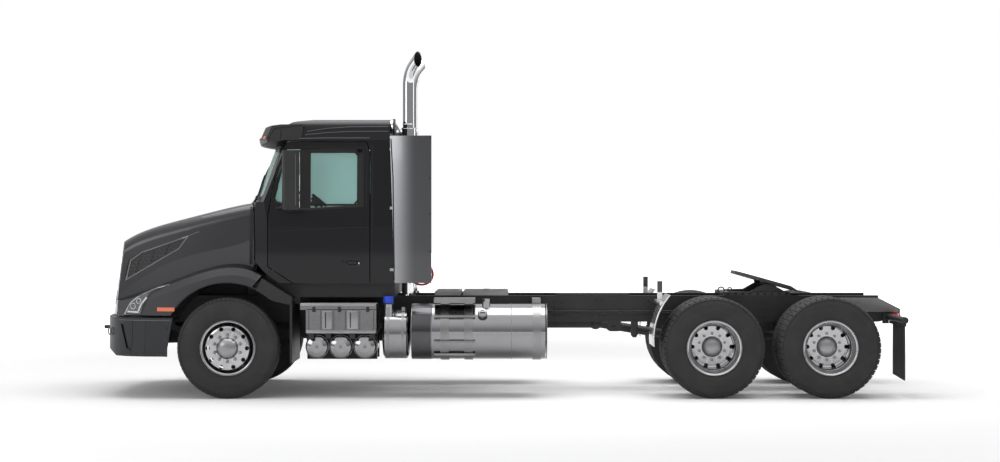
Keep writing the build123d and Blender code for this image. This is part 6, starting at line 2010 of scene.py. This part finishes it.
@dataclass
class Seats:
    """Two padded seats on plastic bases."""

    place_y: float = 0.480
    voxel: float = 0.009
    swell_cap: float = 0.024
    pressure: float = 4.0
    steps: int = 20
    pads: tuple[Pad, ...] = (
        Pad("cushion", (-1.935, -0.250, 1.590), (-1.475, 0.250, 1.700)),
        Pad("backrest", (-1.560, -0.245, 1.735), (-1.460, 0.245, 2.250), math.radians(11.3), (-1.520, 0.0, 1.720)),
        Pad("headrest", (-1.545, -0.140, 2.270), (-1.470, 0.140, 2.400), math.radians(11.3), (-1.520, 0.0, 1.720)))
    # where the sewn channels lie, as shares of the pad's width
    channels: Pair = (-0.275, 0.275)
    channel_depth: float = 0.010
    channel_width: float = 0.012
    base: Block = Block((-1.820, -0.150, 1.300), (-1.590, 0.150, 1.575), 0.020, 3)
    slides: tuple[Block, ...] = (
        Block((-1.850, -0.128, 1.284), (-1.560, -0.092, 1.306), 0.003),
        Block((-1.850, 0.092, 1.284), (-1.560, 0.128, 1.306), 0.003))

    def build(self) -> None:
        """Makes one seat's pads and copies them to both sides."""
        pads = [self._pad(pad) for pad in self.pads]
        nodes = ["seats"]
        for side in Side:
            shift = (0.0, side.value * self.place_y, 0.0)
            for pad in pads:
                copy = pad.copied(f"{side.word}_{pad.obj.name}", Matrix.Translation(shift))
                copy.settle("chassis", "seat_fabric", *nodes)
                nodes = []
            base = [block.moved(shift) for block in (self.base, *self.slides)]
            group(f"{side.word}_seat_base", "dark_plastic", DARK_PLASTIC, base)
        for pad in pads:
            bpy.data.objects.remove(pad.obj)

    def _pad(self, pad: Pad) -> Piece:
        """Makes a pad that cloth pressure swells, with sewn channels after it.

        Args:
            pad: Its sizes.

        Returns:
            The pad about the vehicle's middle.
        """
        piece = Piece.block(pad.name, pad.low, pad.high).bevel(0.030, 3)
        piece.modify("REMESH", mode="VOXEL", voxel_size=self.voxel)
        self._swell(piece)
        width = pad.high[1] - pad.low[1]
        for vertex in piece.obj.data.vertices:
            for channel in self.channels:
                off = (vertex.co.y - channel * width) / self.channel_width
                vertex.co -= vertex.normal * (self.channel_depth * math.exp(-off ** 2))
        piece.modify("SUBSURF", levels=1, render_levels=1)
        foot = Vector(pad.foot)
        lean = Matrix.Translation(foot) @ Matrix.Rotation(pad.lean, 4, "Y") @ Matrix.Translation(-foot)
        return piece.moved(lean).coat(SEAT_CLOTH)

    def _swell(self, pad: Piece) -> None:
        """Runs the cloth, applies it and caps how far each point moved."""
        mesh = pad.activate().obj.data
        start = [vertex.co.copy() for vertex in mesh.vertices]
        cloth = pad.obj.modifiers.new("swell", "CLOTH")
        cloth.settings.use_pressure = True
        cloth.settings.uniform_pressure_force = self.pressure
        cloth.settings.effector_weights.gravity = 0.0
        for number in range(1, self.steps + 1):
            bpy.context.scene.frame_set(number)
        bpy.ops.object.modifier_apply(modifier=cloth.name)
        bpy.context.scene.frame_set(1)
        for vertex, place in zip(pad.obj.data.vertices, start):
            step = vertex.co - place
            if step.length > self.swell_cap:
                vertex.co = place + step.normalized() * self.swell_cap


def main() -> None:
    """Builds the studio and then each sub-assembly of the tractor."""
    logging.basicConfig(level=logging.INFO, format="%(name)s: %(message)s")
    deselect()
    parts = (Studio(), AirLine(), CadFinishes(), RollingGear(), HoodTrim(), CabTrim(), MirrorTrim(), BumperTrim(),
             StackTrim(), FairingTrim(), SideBoxTrim(), TankTrim(), FrameTrim(), CouplingTrim(), Seats())
    for part in parts:
        part.build()


if __name__ == "__main__":
    main()
